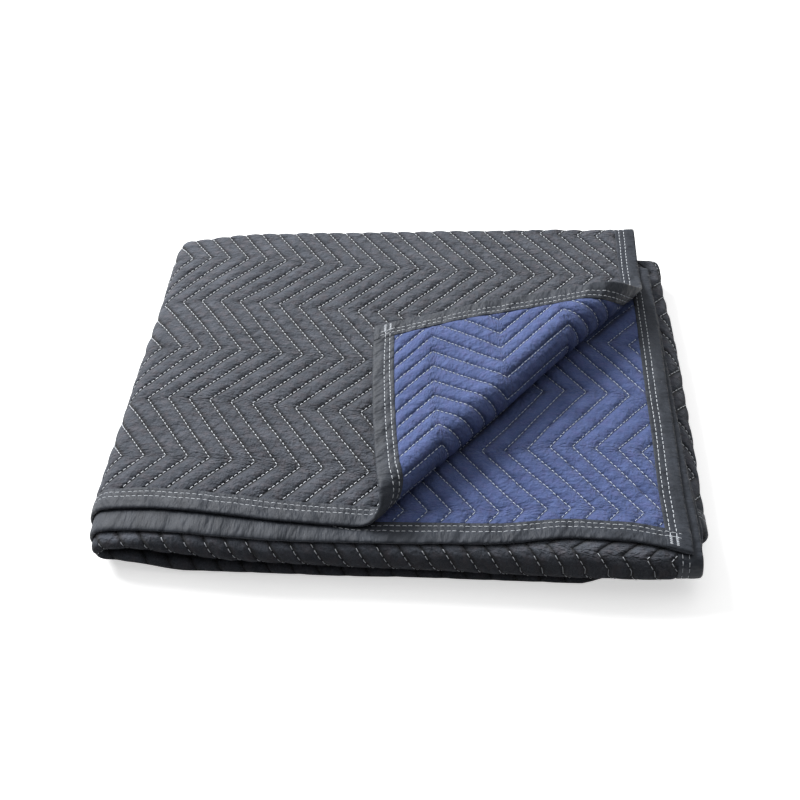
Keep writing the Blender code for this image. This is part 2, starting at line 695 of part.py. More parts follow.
def side_tape(name, at_start):
    """Tape along one side of the blanket, butted against the tapes of the two ends."""
    section = tape_section()
    inward = np.array([e for e, _ in section])
    height = np.array([h for _, h in section])
    u = inward if at_start else WIDTH - inward
    low = TAPE_WIDTH + TAPE_BUTT_GAP
    plain = [row for row in stations_v(u) if low + NUDGE < np.min(row) and np.max(row) < LENGTH - low - NUDGE]
    plain += [np.full_like(u, low), np.full_like(u, LENGTH - low)]
    slanted = []
    if at_start:
        for factor, constant in corner_lines():
            row = np.array([ruling_crossing(factor, constant, x=TOP_RIGHT_EDGE - e) - FRONT_OF_A for e in inward])
            if row.min() > low:
                slanted.append(row)
    return make_tape(name, [fold(u, row, height) for row in clear_rows(plain, slanted)])


def make_materials():
    """One plain finish for each cloth and one for the tape."""
    for name, (colour, roughness) in MATERIALS.items():
        material = bpy.data.materials.new(name)
        material.use_nodes = True
        shader = material.node_tree.nodes["Principled BSDF"]
        shader.inputs["Base Color"].default_value = (*colour, 1.0)
        shader.inputs["Roughness"].default_value = roughness
        shader.inputs["Metallic"].default_value = 0.0


def stand_on_origin(pieces):
    """Moves the pile so that the middle of its footprint is the origin and its underside is at zero."""
    points = np.concatenate([np.array([v.co for v in piece.data.vertices]) for piece in pieces])
    low = points.min(axis=0)
    high = points.max(axis=0)
    shift = Vector((-0.5 * (low[0] + high[0]), -0.5 * (low[1] + high[1]), -low[2]))
    for piece in pieces:
        for vertex in piece.data.vertices:
            vertex.co = vertex.co + shift


def main():
    """Builds the two cloths and the four tapes."""
    for old in list(bpy.data.objects):
        bpy.data.objects.remove(old, do_unlink=True)
    make_materials()
    ends = np.array([0.0, LEFT_TURN])
    places = fold_places(ends)
    black_zones = [
        box_zone(EDGE_OF_QUILTING, LEFT_TURN_END - 0.012, EDGE_OF_QUILTING, LENGTH, corner_side(-0.004, False),
                 line_side(ends, places[1], False)),
        box_zone(RIGHT_TURN, RIGHT_TURN_END, EDGE_OF_QUILTING, 0.47),
        box_zone(0.062, LEFT_TURN_END, 0.0, LENGTH, line_side(ends, places[3] - 0.012, True),
                 line_side(ends, places[4] - 0.018, False)),
    ]
    blue_zones = [
        box_zone(EDGE_OF_QUILTING, 0.36, LENGTH - 0.42, LENGTH - EDGE_OF_QUILTING),
        box_zone(EDGE_OF_QUILTING, 0.36, EDGE_OF_QUILTING, 0.42, corner_side(0.004, True)),
    ]
    pieces = [
        make_cloth("black_face", "black_cloth", black_zones, PUFF, black_height,
                   lambda u, v: np.full_like(u, BLACK_UNDER)),
        make_cloth("blue_face", "blue_cloth", blue_zones, BLUE_PUFF, blue_height,
                   lambda u, v: np.full_like(u, BLUE_TOP)),
        end_tape("end_binding_top", True),
        end_tape("end_binding_second", False),
        side_tape("side_binding_right", True),
        side_tape("side_binding_inner", False),
    ]
    stand_on_origin(pieces)


main()
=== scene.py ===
"""Looks of a quilted moving blanket that lies folded in a flat pile, with its front corner turned back.

Everything on the blanket is worked out flat first: u runs across its width from one bound side, v along its
length from one bound end, and w is the height above the middle of the quilt, positive on the black side.
One map then folds flat points into the pile, so that cloth, tape and thread stay on each other.  Sizes are
in metres.
"""

from __future__ import annotations

import logging
import math
from collections.abc import Callable
from dataclasses import dataclass, field
from enum import Enum

import bpy
import numpy as np
from mathutils import Matrix, Vector

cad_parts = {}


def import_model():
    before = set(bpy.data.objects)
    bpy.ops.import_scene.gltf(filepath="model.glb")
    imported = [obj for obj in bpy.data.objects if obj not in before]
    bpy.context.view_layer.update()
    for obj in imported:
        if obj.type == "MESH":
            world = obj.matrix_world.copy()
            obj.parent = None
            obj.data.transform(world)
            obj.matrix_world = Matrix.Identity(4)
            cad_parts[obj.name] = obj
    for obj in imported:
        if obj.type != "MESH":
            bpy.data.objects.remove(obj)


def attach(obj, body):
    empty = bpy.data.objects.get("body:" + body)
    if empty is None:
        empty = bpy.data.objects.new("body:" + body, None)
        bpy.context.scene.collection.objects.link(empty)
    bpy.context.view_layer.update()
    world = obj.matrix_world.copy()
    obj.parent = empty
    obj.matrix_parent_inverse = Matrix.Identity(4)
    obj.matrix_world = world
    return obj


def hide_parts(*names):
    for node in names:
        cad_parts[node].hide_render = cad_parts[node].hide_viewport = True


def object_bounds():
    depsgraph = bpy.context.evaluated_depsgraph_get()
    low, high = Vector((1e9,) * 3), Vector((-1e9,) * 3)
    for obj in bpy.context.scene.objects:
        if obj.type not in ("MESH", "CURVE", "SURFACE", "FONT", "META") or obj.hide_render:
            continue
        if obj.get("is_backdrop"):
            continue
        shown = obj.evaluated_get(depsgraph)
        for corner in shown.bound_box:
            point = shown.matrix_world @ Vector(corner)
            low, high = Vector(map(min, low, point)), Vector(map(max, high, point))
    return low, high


Array = np.ndarray
LOG = logging.getLogger("moving_blanket")
MM = 0.001


class Side(Enum):
    """The two faces of the quilt, by the sign of their height w."""

    BLACK = 1
    BLUE = -1


class Edge(Enum):
    """The four bound edges of the flat blanket."""

    TOP_END = "end_binding_top"
    SECOND_END = "end_binding_second"
    RIGHT_SIDE = "side_binding_right"
    INNER_SIDE = "side_binding_inner"


def smooth_step(share: Array) -> Array:
    """Goes smoothly from 0 to 1 as the share does: 3 k^2 - 2 k^3."""
    k = np.clip(share, 0.0, 1.0)
    return k * k * (3.0 - 2.0 * k)


def smooth_table(x: Array, places: Array, values: Array, reach: float = 0.016) -> Array:
    """Reads a table by straight lines and rounds its corners off.

    The result is the mean of five readings spread evenly over a reach either side of x.

    Args:
        x: Places to read at.
        places: Rising places of the table's rows.
        values: The column that is read.
        reach: Half the width over which readings are averaged.

    Returns:
        The rounded readings, in the shape of x.
    """
    taps = np.linspace(-reach, reach, 5)
    return sum(np.interp(x + tap, places, values) for tap in taps) / len(taps)


class Noise:
    """Smooth random heights in the plane, between about -1 and 1."""

    def __init__(self, seed: int, cells: int = 64) -> None:
        """Draws one height for each corner of a square lattice that repeats.

        Args:
            seed: Seed of the draw.
            cells: Number of lattice cells before the pattern repeats.
        """
        self.cells = cells
        self.heights = np.random.default_rng(seed).uniform(-1.0, 1.0, (cells, cells))

    def at(self, x: Array, y: Array) -> Array:
        """Blends the four lattice heights around each point with smooth weights.

        Args:
            x: First coordinate, in lattice cells.
            y: Second coordinate, in lattice cells.

        Returns:
            The height at each point.
        """
        ix, iy = np.floor(x).astype(int), np.floor(y).astype(int)
        fx, fy = smooth_step(x - ix), smooth_step(y - iy)
        x0, x1, y0, y1 = ix % self.cells, (ix + 1) % self.cells, iy % self.cells, (iy + 1) % self.cells
        low = self.heights[x0, y0] * (1.0 - fx) + self.heights[x1, y0] * fx
        high = self.heights[x0, y1] * (1.0 - fx) + self.heights[x1, y1] * fx
        return low * (1.0 - fy) + high * fy


@dataclass(frozen=True)
class Quilting:
    """The zigzag quilting and the relief that it pulls into both faces."""

    pitch: float = 0.02515
    swing: float = 0.070
    row: float = 0.088455
    first_row: float = 0.073
    offset_rows: tuple[float, ...] = (-1.0, 5.0, 18.0, 23.0)
    offsets: tuple[float, ...] = (0.00747, -0.00876, 0.00360, 0.00360)
    valley: float = 0.0012
    puff: float = 0.0006
    seam_reach: float = 0.0036
    stitch: float = 0.0058
    # Offset of the seam valley, and of the painted shade drawn in it, from the stitch line.
    seam_offset: float = 0.0008
    rise_power: float = 1.25
    beyond: tuple[float, float] = (-0.3, 2.4)
    spread_places: tuple[float, ...] = (0.0, 0.58, 1.00, 1.06, 1.119, 1.14, 1.56, 2.06)
    spreads: tuple[float, ...] = (0.0, 0.0, -0.70, -0.80, -0.83, -0.75, 0.0, 0.0)

    def rows_at(self, v: Array) -> Array:
        """Number of rows of bends up to v: even steps of one row, less the spread inside the pile."""
        return (v - self.first_row) / self.row + np.interp(v, self.spread_places, self.spreads)

    def place_of(self, rows: Array) -> Array:
        """Place along the length that a number of rows comes to, which undoes rows_at."""
        knots = np.array(self.beyond[:1] + self.spread_places[1:-1] + self.beyond[1:])
        return np.interp(rows, self.rows_at(knots), knots)

    def zigzag(self, v: Array) -> Array:
        """Sideways place of a stitch line at v: a triangle wave of the swing, peak to peak."""
        return -0.5 * self.swing * (1.0 - 2.0 * np.abs((self.rows_at(v) + 1.0) % 2.0 - 1.0))

    def offset(self, v: Array) -> Array:
        """Slow sideways drift of the stitch lines along the length, straight between rows of bends."""
        return np.interp((v - self.first_row) / self.row, self.offset_rows, self.offsets)

    @property
    def slant(self) -> float:
        """Cosine of the angle that the stitch lines make with the blanket's length."""
        return math.cos(math.atan2(self.swing, self.row))

    def distance(self, u: Array, v: Array) -> Array:
        """Distance from each flat point to the nearest stitch line, square to the line."""
        phase = (u - self.offset(v) - self.zigzag(v)) / self.pitch
        return np.abs(phase - np.round(phase)) * self.pitch * self.slant

    def relief(self, u: Array, v: Array) -> Array:
        """Height of the quilted face over its mean: low on the stitch lines and full between them.

        The height rises from minus the valley by 1 - exp(-(distance / reach)^power), scaled to reach the puff
        halfway to the next line.

        Args:
            u: Places across the width.
            v: Places along the length.

        Returns:
            The height at each point.
        """
        most = 0.5 * self.pitch * self.slant
        rise = 1.0 - np.exp(-((self.distance(u, v) / self.seam_reach) ** self.rise_power))
        full = 1.0 - math.exp(-((most / self.seam_reach) ** self.rise_power))
        return -self.valley + (self.valley + self.puff) * rise / full


@dataclass
class FoldPlan:
    """Sizes of the folded pile, and the map that folds flat points into it."""

    width: float = 1.829
    length: float = 2.060
    layer: float = 0.0052
    sag: float = 0.010
    right_edge: float = 0.2885
    half_width: float = 0.3315
    right_ease: float = 0.0015
    front_of_a: float = -0.2545
    back_fold: float = 0.2515
    back_skew: float = 0.086
    low_back_skew: float = 0.0183
    inner_fold: float = 0.208
    inner_skew: float = -0.030
    roll_depth: float = 0.011
    roll_ease: float = 0.034
    ease_stretch: float = 1.04
    lift_start: float = -0.1915
    lift_run: float = 0.0805
    lift_gain: float = 1.9
    stagger_b: float = 0.031
    stagger_c: float = 0.026
    stagger_d: float = 0.0143
    sag_places: tuple[float, ...] = (-0.3053, -0.2650, -0.2150)
    sag_depths: tuple[float, ...] = (-0.0100, -0.0040, 0.0000)
    corner_start: tuple[float, float] = (-0.0195, -0.2233)
    corner_angle: float = math.radians(52.8)
    corner_run: float = 0.500
    corner_front_radius: float = 0.0169
    corner_back_radius: float = 0.0275
    corner_dip: float = math.radians(9.5)
    corner_slack: float = 0.852
    corner_shear: float = 0.016
    corner_fan: float = 0.346
    corner_arch: float = 0.009
    arch_run: float = 0.46
    arch_start: float = 0.12
    taper: float = 0.0060
    taper_start: tuple[float, float, float] = (0.15, -0.02, 0.030)
    taper_run: tuple[float, float, float] = (0.15, 0.26, 0.014)
    rolled_out: float = 0.9
    rolled_places: tuple[float, float] = (0.345, 0.66)
    rolled_run: float = 0.06
    sway: tuple[float, float, float] = (0.0013, 0.0012, 0.0011)
    corner_rest: float = 0.0062
    corner_length: float = 0.46
    solids_low: tuple[float, float, float] = (-0.33185, -0.283935, 0.00021)
    top_front: tuple[tuple[float, ...], ...] = (
        # place,  edge a,  edge d,    roll, lifted,  half height
        (-0.3053, -0.2395, -0.2630, -0.2775, 0.0000, 0.0045),
        (-0.2650, -0.2400, -0.2660, -0.2800, 0.0000, 0.0090),
        (-0.2150, -0.2450, -0.2705, -0.2825, 0.0000, 0.0122),
        (-0.0620, -0.2545, -0.2720, -0.2815, 0.0000, 0.0140),
        (+0.0985, -0.2545, -0.2650, -0.2795, 0.0010, 0.0150),
        (+0.1650, -0.2545, -0.2545, -0.2790, 0.0042, 0.0145),
        (+0.2350, -0.2545, -0.2560, -0.2780, 0.0040, 0.0140),
        (+0.3050, -0.2545, -0.2665, -0.2700, 0.0000, 0.0140),
    )
    low_front: tuple[tuple[float, ...], ...] = (
        # place,  edge a,  edge d,    roll, middle,  half height
        (-0.3053, -0.2395, -0.2630, -0.2775, 0.0175, 0.0045),
        (-0.2703, -0.2400, -0.2260, -0.2795, 0.0156, 0.0026),
        (-0.2303, -0.2400, -0.2260, -0.2815, 0.0092, 0.0060),
        (-0.0500, -0.2400, -0.2260, -0.2765, 0.0081, 0.0050),
        (+0.2007, -0.2250, -0.2230, -0.2705, 0.0085, 0.0040),
        (+0.2382, -0.2200, -0.2090, -0.2565, 0.0120, 0.0036),
        (+0.2757, -0.2150, -0.1950, -0.2350, 0.0156, 0.0026),
        (+0.3107, -0.2150, -0.1950, -0.2320, 0.0156, 0.0026),
    )
    shift: Array = field(default_factory=lambda: np.zeros(3))

    def __post_init__(self) -> None:
        """Works out the layers' heights in the strip and the places of its turns along u."""
        t = self.layer
        self.layer_a, self.layer_b, self.layer_c, self.layer_d = 3.5 * t, 0.5 * t, 1.5 * t, 2.5 * t
        self.left_fold = -self.half_width + 6.0 * t - 0.5 * self.sag
        self.right_fold = self.half_width - 4.0 * t
        self.left_radius = 2.0 * t - 0.5 * self.sag
        self.left_turn = self.right_edge - self.left_fold
        self.left_end = self.left_turn + math.pi * (self.left_radius + self.layer_a)
        self.right_turn = self.left_end + self.right_fold - self.left_fold
        self.right_end = self.right_turn + math.pi * self.layer_a
        self.top = np.array(self.top_front).T
        self.low = np.array(self.low_front).T
        self.wave = Noise(11)
        self.drift = Noise(12)
        self.ripple = Noise(13)

    def plan_x(self, u: Array) -> Array:
        """Place across the pile along the strip, with the turns taken at their fold lines.

        Args:
            u: Places along the strip.

        Returns:
            Places across the pile.
        """
        top = self.right_edge - u
        middle = self.left_fold + u - self.left_end
        third = self.right_fold - (u - self.right_end)
        return np.where(u < self.left_turn, top, np.where(
            u < self.left_end, self.left_fold, np.where(u < self.right_turn, middle, np.where(
                u < self.right_end, self.right_fold, third))))

    def slack(self, u: Array) -> Array:
        """How much wider than sewn the second end's tape shows, where its padded edge is rolled out.

        Args:
            u: Places along the tape.

        Returns:
            Factor on the tape's width.
        """
        first, last = self.rolled_places
        return 1.0 + self.rolled_out * (
            smooth_step((u - first) / self.rolled_run) - smooth_step((u - last) / self.rolled_run))

    def front_sizes(self, u: Array) -> tuple[Array, ...]:
        """Sizes of the strip's front side at u.

        Args:
            u: Places along the strip.

        Returns:
            The front edges of layers a and d, and the roll's front, depth, half height and middle height.
        """
        x = self.plan_x(u)
        x_low = np.where(u < self.right_end, x, self.right_fold)
        is_top = u < 0.5 * (self.left_turn + self.left_end)

        def column(k: int) -> Array:
            """Reads one column of the table that holds at u."""
            return np.where(is_top, smooth_table(x, self.top[0], self.top[k]),
                            smooth_table(x_low, self.low[0], self.low[k], 0.006))

        half = column(5)
        middle = np.where(is_top, self.layer_c - half, 4.0 * self.layer - column(4))
        return column(1), column(2), column(3), np.minimum(self.roll_depth, half), half, middle

    def back_places(self, u: Array) -> tuple[Array, Array]:
        """Depths of the centres of the two back folds.

        Args:
            u: Places along the strip.

        Returns:
            Depth of the outer and of the inner back fold.
        """
        x = self.plan_x(u)
        skew = np.where(u < self.left_turn, self.back_skew, self.low_back_skew)
        corner = self.back_fold + self.back_skew * self.left_fold
        return corner + skew * (x - self.left_fold), self.inner_fold + self.inner_skew * x

    def fold_places(self, u: Array) -> tuple[Array, ...]:
        """Values of v at which the strip's cross-section changes, in order along the length.

        Args:
            u: Places along the strip.

        Returns:
            The ends of layer a, the back fold, b, the roll's first ease, the roll, its second ease, c and the
            inner fold.
        """
        edge_a, edge_d, roll, depth, half, _ = self.front_sizes(u)
        back, inner = self.back_places(u)
        eased = roll + depth + self.roll_ease
        ease_length = self.ease_stretch * self.roll_ease
        arc = math.pi * np.sqrt(0.5 * (depth * depth + half * half))
        v1 = back - edge_a
        v2 = v1 + math.pi * 1.5 * self.layer
        v8 = self.length - (inner - edge_d)
        v7 = v8 - math.pi * 0.5 * self.layer
        hidden = v7 - v2 - arc - 2.0 * ease_length
        v3 = v2 + hidden * (back - eased) / (back + inner - 2.0 * eased)
        v4 = v3 + ease_length
        v5 = v4 + arc
        return v1, v2, v3, v4, v5, v5 + ease_length, v7, v8

    def stagger(self, places: tuple[Array, ...], v: Array) -> Array:
        """How much further than the top layer the strip reaches out at the bound side.

        Args:
            places: What fold_places gives.
            v: Places along the blanket's length.

        Returns:
            The distance that each layer is shifted.
        """
        _, v2, v3, _, v5, v6, v7, _ = places
        shift = self.stagger_b * np.clip((v - v2) / (v3 - v2), 0.0, 1.0)
        shift = shift + (self.stagger_c - self.stagger_b) * np.clip((v - v3) / (v5 - v3), 0.0, 1.0)
        return shift + (self.stagger_d - self.stagger_c) * np.clip((v - v6) / (v7 - v6), 0.0, 1.0)

    def section(self, u: Array, v: Array) -> tuple[Array, Array, Array]:
        """Middle line of the quilt in the strip's cross-section.

        The line runs back along layer a, round the outer back fold, forward along b, round the soft front
        roll, back along c, round the inner back fold, and forward along d to the second bound end.

        Args:
            u: Places along the strip.
            v: Places along the blanket's length.

        Returns:
            Depth in the pile, height above the strip's underside, and the layer's stagger.
        """
        edge_a, _, roll, depth, half, middle = self.front_sizes(u)
        places = self.fold_places(u)
        v1, v2, v3, v4, v5, v6, v7, v8 = places
        back, inner = self.back_places(u)
        roll_y = roll + depth
        eased = roll_y + self.roll_ease
        t = self.layer

        turn_1 = math.pi * np.clip((v - v1) / (v2 - v1), 0.0, 1.0)
        share_3 = (v - v3) / (v4 - v3)
        turn_4 = math.pi * np.clip((v - v4) / (v5 - v4), 0.0, 1.0)
        share_5 = (v - v5) / (v6 - v5)
        turn_7 = math.pi * np.clip((v - v7) / (v8 - v7), 0.0, 1.0)
        spans = [v <= v1, v <= v2, v <= v3, v <= v4, v <= v5, v <= v6, v <= v7, v <= v8]
        y = np.select(spans, [
            edge_a + v,
            back + 1.5 * t * np.sin(turn_1),
            back - (v - v2) / (v3 - v2) * (back - eased),
            eased - self.roll_ease * share_3,
            roll_y - depth * np.sin(turn_4),
            roll_y + self.roll_ease * share_5,
            eased + (v - v6) / (v7 - v6) * (inner - eased),
            inner + 0.5 * t * np.sin(turn_7)], inner - (v - v8))
        flat = np.zeros_like(y)
        h = np.select(spans, [
            flat + self.layer_a,
            2.0 * t + 1.5 * t * np.cos(turn_1),
            flat + self.layer_b,
            self.layer_b + (middle - half - self.layer_b) * smooth_step(share_3),
            middle - half * np.cos(turn_4),
            middle + half + (self.layer_c - middle - half) * smooth_step(share_5),
            flat + self.layer_c,
            2.0 * t - 0.5 * t * np.cos(turn_7)], self.layer_d)
        shift = self.stagger(places, v)
        lift = smooth_table(self.right_edge - u + shift - self.stagger_d, self.top[0], self.top[4])
        lift = self.lift_gain * lift * smooth_step((self.lift_start - y) / self.lift_run)
        return y, h + np.where((v > 0.5 * (v4 + v5)) & (u < self.left_turn), lift, 0.0), shift

    def turn_strip(self, u: Array, h: Array, shift: Array) -> tuple[Array, Array]:
        """Folds the strip into thirds, round the left turn and then round the right turn.

        Args:
            u: Places along the strip.
            h: Heights above the strip's underside.
            shift: How far the layer reaches out at the bound side.

        Returns:
            Place across the pile and height above the floor.
        """
        t = self.layer
        start = self.left_turn + shift
        turn_l = math.pi * (u - start) / (self.left_end - start)
        turn_r = math.pi * (u - self.right_turn) / (self.right_end - self.right_turn)
        radius = self.left_radius + h
        top_x = self.right_edge + shift - u
        sag = smooth_table(top_x, np.array(self.sag_places), np.array(self.sag_depths), 0.010)
        sag = np.where(top_x < self.left_fold + 0.012, np.interp(
            top_x, self.sag_places, self.sag_depths), sag)
        spans = [u <= start, u <= self.left_end, u <= self.right_turn, u <= self.right_end]
        x = np.select(spans, [
            top_x, self.left_fold - radius * np.sin(turn_l), self.left_fold + u - self.left_end,
            self.right_fold + (h + self.right_ease) * np.sin(turn_r)], self.right_fold - (u - self.right_end))
        z = np.select(spans, [
            8.0 * t + h + sag, 6.0 * t - 0.5 * self.sag + radius * np.cos(turn_l), 4.0 * t - h,
            4.0 * t - h * np.cos(turn_r)], 4.0 * t + h)
        return x, z

    def corner_axes(self) -> tuple[Array, Array]:
        """Unit vectors in plan along the turned corner's fold line and outwards across it."""
        c, s = math.cos(self.corner_angle), math.sin(self.corner_angle)
        return np.array([c, s]), np.array([s, -c])

    def corner_place(self, x: Array, y: Array) -> tuple[Array, Array]:
        """Distances of plan points along and across the corner's fold line.

        Args:
            x: Places across the pile.
            y: Depths in the pile.

        Returns:
            Distance along the line and distance outwards from it.
        """
        along, across = self.corner_axes()
        dx, dy = x - self.corner_start[0], y - self.corner_start[1]
        return dx * along[0] + dy * along[1], dx * across[0] + dy * across[1]

    def corner_profile(self, t: Array, across: Array) -> tuple[Array, Array, Array]:
        """Cross-section of the corner's roll: a little more than half a turn, then down on to the pile.

        Args:
            t: Distance along the fold line, on which the radius grows.
            across: Distance across the fold line in the flat cloth.

        Returns:
            Distance across in plan, height, and how far the point is past the arc's end.
        """
        radius = self.corner_front_radius + (
            self.corner_back_radius - self.corner_front_radius) * t / self.corner_run
        radius = np.maximum(radius, 0.004)
        sweep = math.pi + self.corner_dip
        turn = np.clip(across / radius, 0.0, sweep)
        over = np.clip(across - sweep * radius, 0.0, None)
        top = radius * (1.0 + math.cos(self.corner_dip))
        fall = 2.0 * (top - self.corner_rest) / math.tan(self.corner_dip)
        left = 1.0 - np.clip(over / fall, 0.0, 1.0)
        reach = np.where(over > 0.0, -radius * math.sin(self.corner_dip) - self.corner_slack * over,
                         radius * np.sin(turn))
        rise = np.where(over > 0.0, self.corner_rest + (top - self.corner_rest) * left * left,
                        radius * (1.0 - np.cos(turn)))
        return np.where(across < 0.0, across, reach), np.where(across < 0.0, 0.0, rise), over

    def roll_corner(self, x: Array, y: Array, w: Array) -> tuple[Array, Array, Array]:
        """Rolls back the corner of the top layer.

        Each point is carried along the roll's cross-section, and w is laid off square to that section.

        Args:
            x: Place across the pile before the corner is rolled.
            y: Depth before the corner is rolled.
            w: Height above the middle of the quilt.

        Returns:
            The point's three coordinates in the pile.
        """
        along, across = self.corner_axes()
        t, d = self.corner_place(x, y)
        reach, rise, over = self.corner_profile(t, d)
        ahead = self.corner_profile(t, d + 1.0e-5)
        behind = self.corner_profile(t, d - 1.0e-5)
        slope_reach, slope_rise = ahead[0] - behind[0], ahead[1] - behind[1]
        size = np.hypot(slope_reach, slope_rise)
        reach = reach - w * slope_rise / size
        rise = rise + w * slope_reach / size
        arch = np.sin(math.pi * np.clip(t / self.arch_run, 0.0, 1.0))
        rise = rise + self.corner_arch * arch * smooth_step(over / self.arch_start)
        t = t + (self.corner_shear + self.corner_fan * t / self.corner_run) * over
        return (self.corner_start[0] + t * along[0] + reach * across[0],
                self.corner_start[1] + t * along[1] + reach * across[1],
                8.0 * self.layer + self.layer_a + rise)

    def soften(self, point: Array) -> Array:
        """Moves the whole pile's space a little, so that no fold or edge stays straight.

        Slow waves shift every point sideways, and lift it in step with its height, so that pieces keep their
        order and the underside stays on the floor.

        Args:
            point: Points in the pile, in its own frame.

        Returns:
            The moved points.
        """
        x, y, z = point[..., 0], point[..., 1], point[..., 2]
        share = np.clip(z / 0.06, 0.0, 1.15)
        side = self.wave.at(y / 0.070 + 7.3, z / 0.030 + 2.1)
        deep = self.drift.at(x / 0.085 + 3.7, z / 0.030 + 9.4)
        up = self.ripple.at(x / 0.060 + 5.1, y / 0.055 + 1.7) + 0.5 * self.wave.at(x / 0.027, y / 0.024)
        edge_x = smooth_step((np.abs(x) - 0.20) / 0.10)
        edge_y = smooth_step((np.abs(y) - 0.17) / 0.09)
        sway_x, sway_y, sway_z = self.sway
        return np.stack([x + sway_x * side * edge_x, y + sway_y * deep * edge_y,
                         z + sway_z * up * share * smooth_step(z / 0.03)], axis=-1)

    def place(self, u: Array, v: Array, w: Array) -> Array:
        """Carries flat points of the blanket to their place in the folded pile.

        The section gives the middle of the quilt, w is laid off square to it, the strip is turned into
        thirds, the corner of the top layer is rolled, and the lower layers are drawn in at the back right.

        Args:
            u: Places across the width.
            v: Places along the length.
            w: Heights above the middle of the quilt.

        Returns:
            Points in the shared frame, with a last axis of three.
        """
        u, v, w = np.broadcast_arrays(np.asarray(u, float), np.asarray(v, float), np.asarray(w, float))
        step = 1.0e-5
        y, h, shift = self.section(u, v)
        y_ahead, h_ahead, _ = self.section(u, v + step)
        y_behind, h_behind, _ = self.section(u, v - step)
        run_y, run_h = y_ahead - y_behind, h_ahead - h_behind
        size = np.maximum(np.hypot(run_y, run_h), 1.0e-9)
        y_w, h_w = y - w * run_h / size, h + w * run_y / size
        x_w, z_w = self.turn_strip(u, h_w, shift)
        flat_x = self.right_edge - u
        _, d = self.corner_place(flat_x, y)
        in_corner = (u < self.left_turn) & (v < self.corner_length) & (d > 0.0)
        corner = self.roll_corner(flat_x, y, w)
        along_x, along_y, along_z = (smooth_step((place - start) / run) for place, start, run in zip(
            (x_w, y_w, z_w), self.taper_start, self.taper_run))
        x_w = x_w - self.taper * along_x * along_y * (1.0 - along_z)
        point = np.stack([np.where(in_corner, c, p) for c, p in zip(corner, (x_w, y_w, z_w))], axis=-1)
        return self.soften(point) + self.shift


class FlatGrid:
    """Lines over the flat blanket that follow its folds, close together where the cloth shows."""

    def __init__(self, plan: FoldPlan, columns: tuple[int, ...], rows: tuple[int, ...],
                 open_width: float, open_start: float, open_end: float) -> None:
        """Works out the crossings of the lines.

        Args:
            plan: The folding.
            columns: Steps in the open width, the rest of the upper third, the left turn, the middle third,
                the right turn and the last third.
            rows: Steps in the open start, the rest of layer a, the back fold, b, the two eases and the roll
                between them, c, the inner fold, the rest of d, and the open end.
            open_width: Width from the bound side that has the first number of columns.
            open_start: Length from the first end that has the first number of rows.
            open_end: Length before the second end that has the last number of rows.
        """
        self.plan = plan
        self.columns = columns
        self.rows = rows
        self.open_width, self.open_start, self.open_end = open_width, open_start, open_end

    def across(self, shift: Array) -> list[Array]:
        """Places of the columns across the width.

        Args:
            shift: How far the layer reaches out at the bound side.

        Returns:
            The places of each column.
        """
        p = self.plan
        turn = [p.left_turn + shift]
        stops = [np.full_like(shift, place) for place in (
            0.0, self.open_width, p.left_end, p.right_turn, p.right_end, p.width)]
        return self.steps(stops[:2] + turn + stops[2:], self.columns)

    def along(self, u: Array) -> list[Array]:
        """Places of the rows along the length.

        Args:
            u: Places across the width.

        Returns:
            The places of each row.
        """
        stops = [np.full_like(u, place) for place in (
            0.0, self.open_start, self.plan.length - self.open_end, self.plan.length)]
        return self.steps(stops[:2] + list(self.plan.fold_places(u)) + stops[2:], self.rows)

    @staticmethod
    def steps(stops: list[Array], counts: tuple[int, ...]) -> list[Array]:
        """Splits each stretch between two stops into equal steps.

        Args:
            stops: Ends of the stretches, in order.
            counts: Number of steps in each stretch.

        Returns:
            All the places, with the first and the last stop.
        """
        lines = [stops[0]]
        for low, high, count in zip(stops, stops[1:], counts):
            lines += [low + (high - low) * k / count for k in range(1, count + 1)]
        return lines

    def build(self) -> tuple[Array, Array]:
        """Finds the crossings by turns: columns depend on the layer's shift and rows on the place across.

        Returns:
            Arrays of u and of v, with a row for each line along the width.
        """
        u = np.tile(np.array(self.across(np.array(0.0))), (sum(self.rows) + 1, 1))
        for _ in range(3):
            v = self.lines_at(u)
            shift = self.plan.stagger(self.plan.fold_places(u), v)
            lines = np.array(self.across(shift))
            u = np.stack([lines[j, :, j] for j in range(lines.shape[0])], axis=1)
        return u, self.lines_at(u)

    def lines_at(self, u: Array) -> Array:
        """Value of v on each row's own line, at that row's values of u."""
        lines = np.array(self.along(u))
        return np.stack([lines[i, i] for i in range(lines.shape[0])])


def grid_faces(rows: int, columns: int, flip: bool) -> Array:
    """Corner numbers of the quads of a grid whose points are numbered row by row.

    Args:
        rows: Number of rows of points.
        columns: Number of points in a row.
        flip: Whether the quads are turned over.

    Returns:
        Four corner numbers for each quad.
    """
    i, j = np.meshgrid(np.arange(rows - 1), np.arange(columns - 1), indexing="ij")
    k = (i * columns + j).ravel()
    faces = np.stack([k, k + columns, k + columns + 1, k + 1], axis=1)
    return faces[:, ::-1] if flip else faces


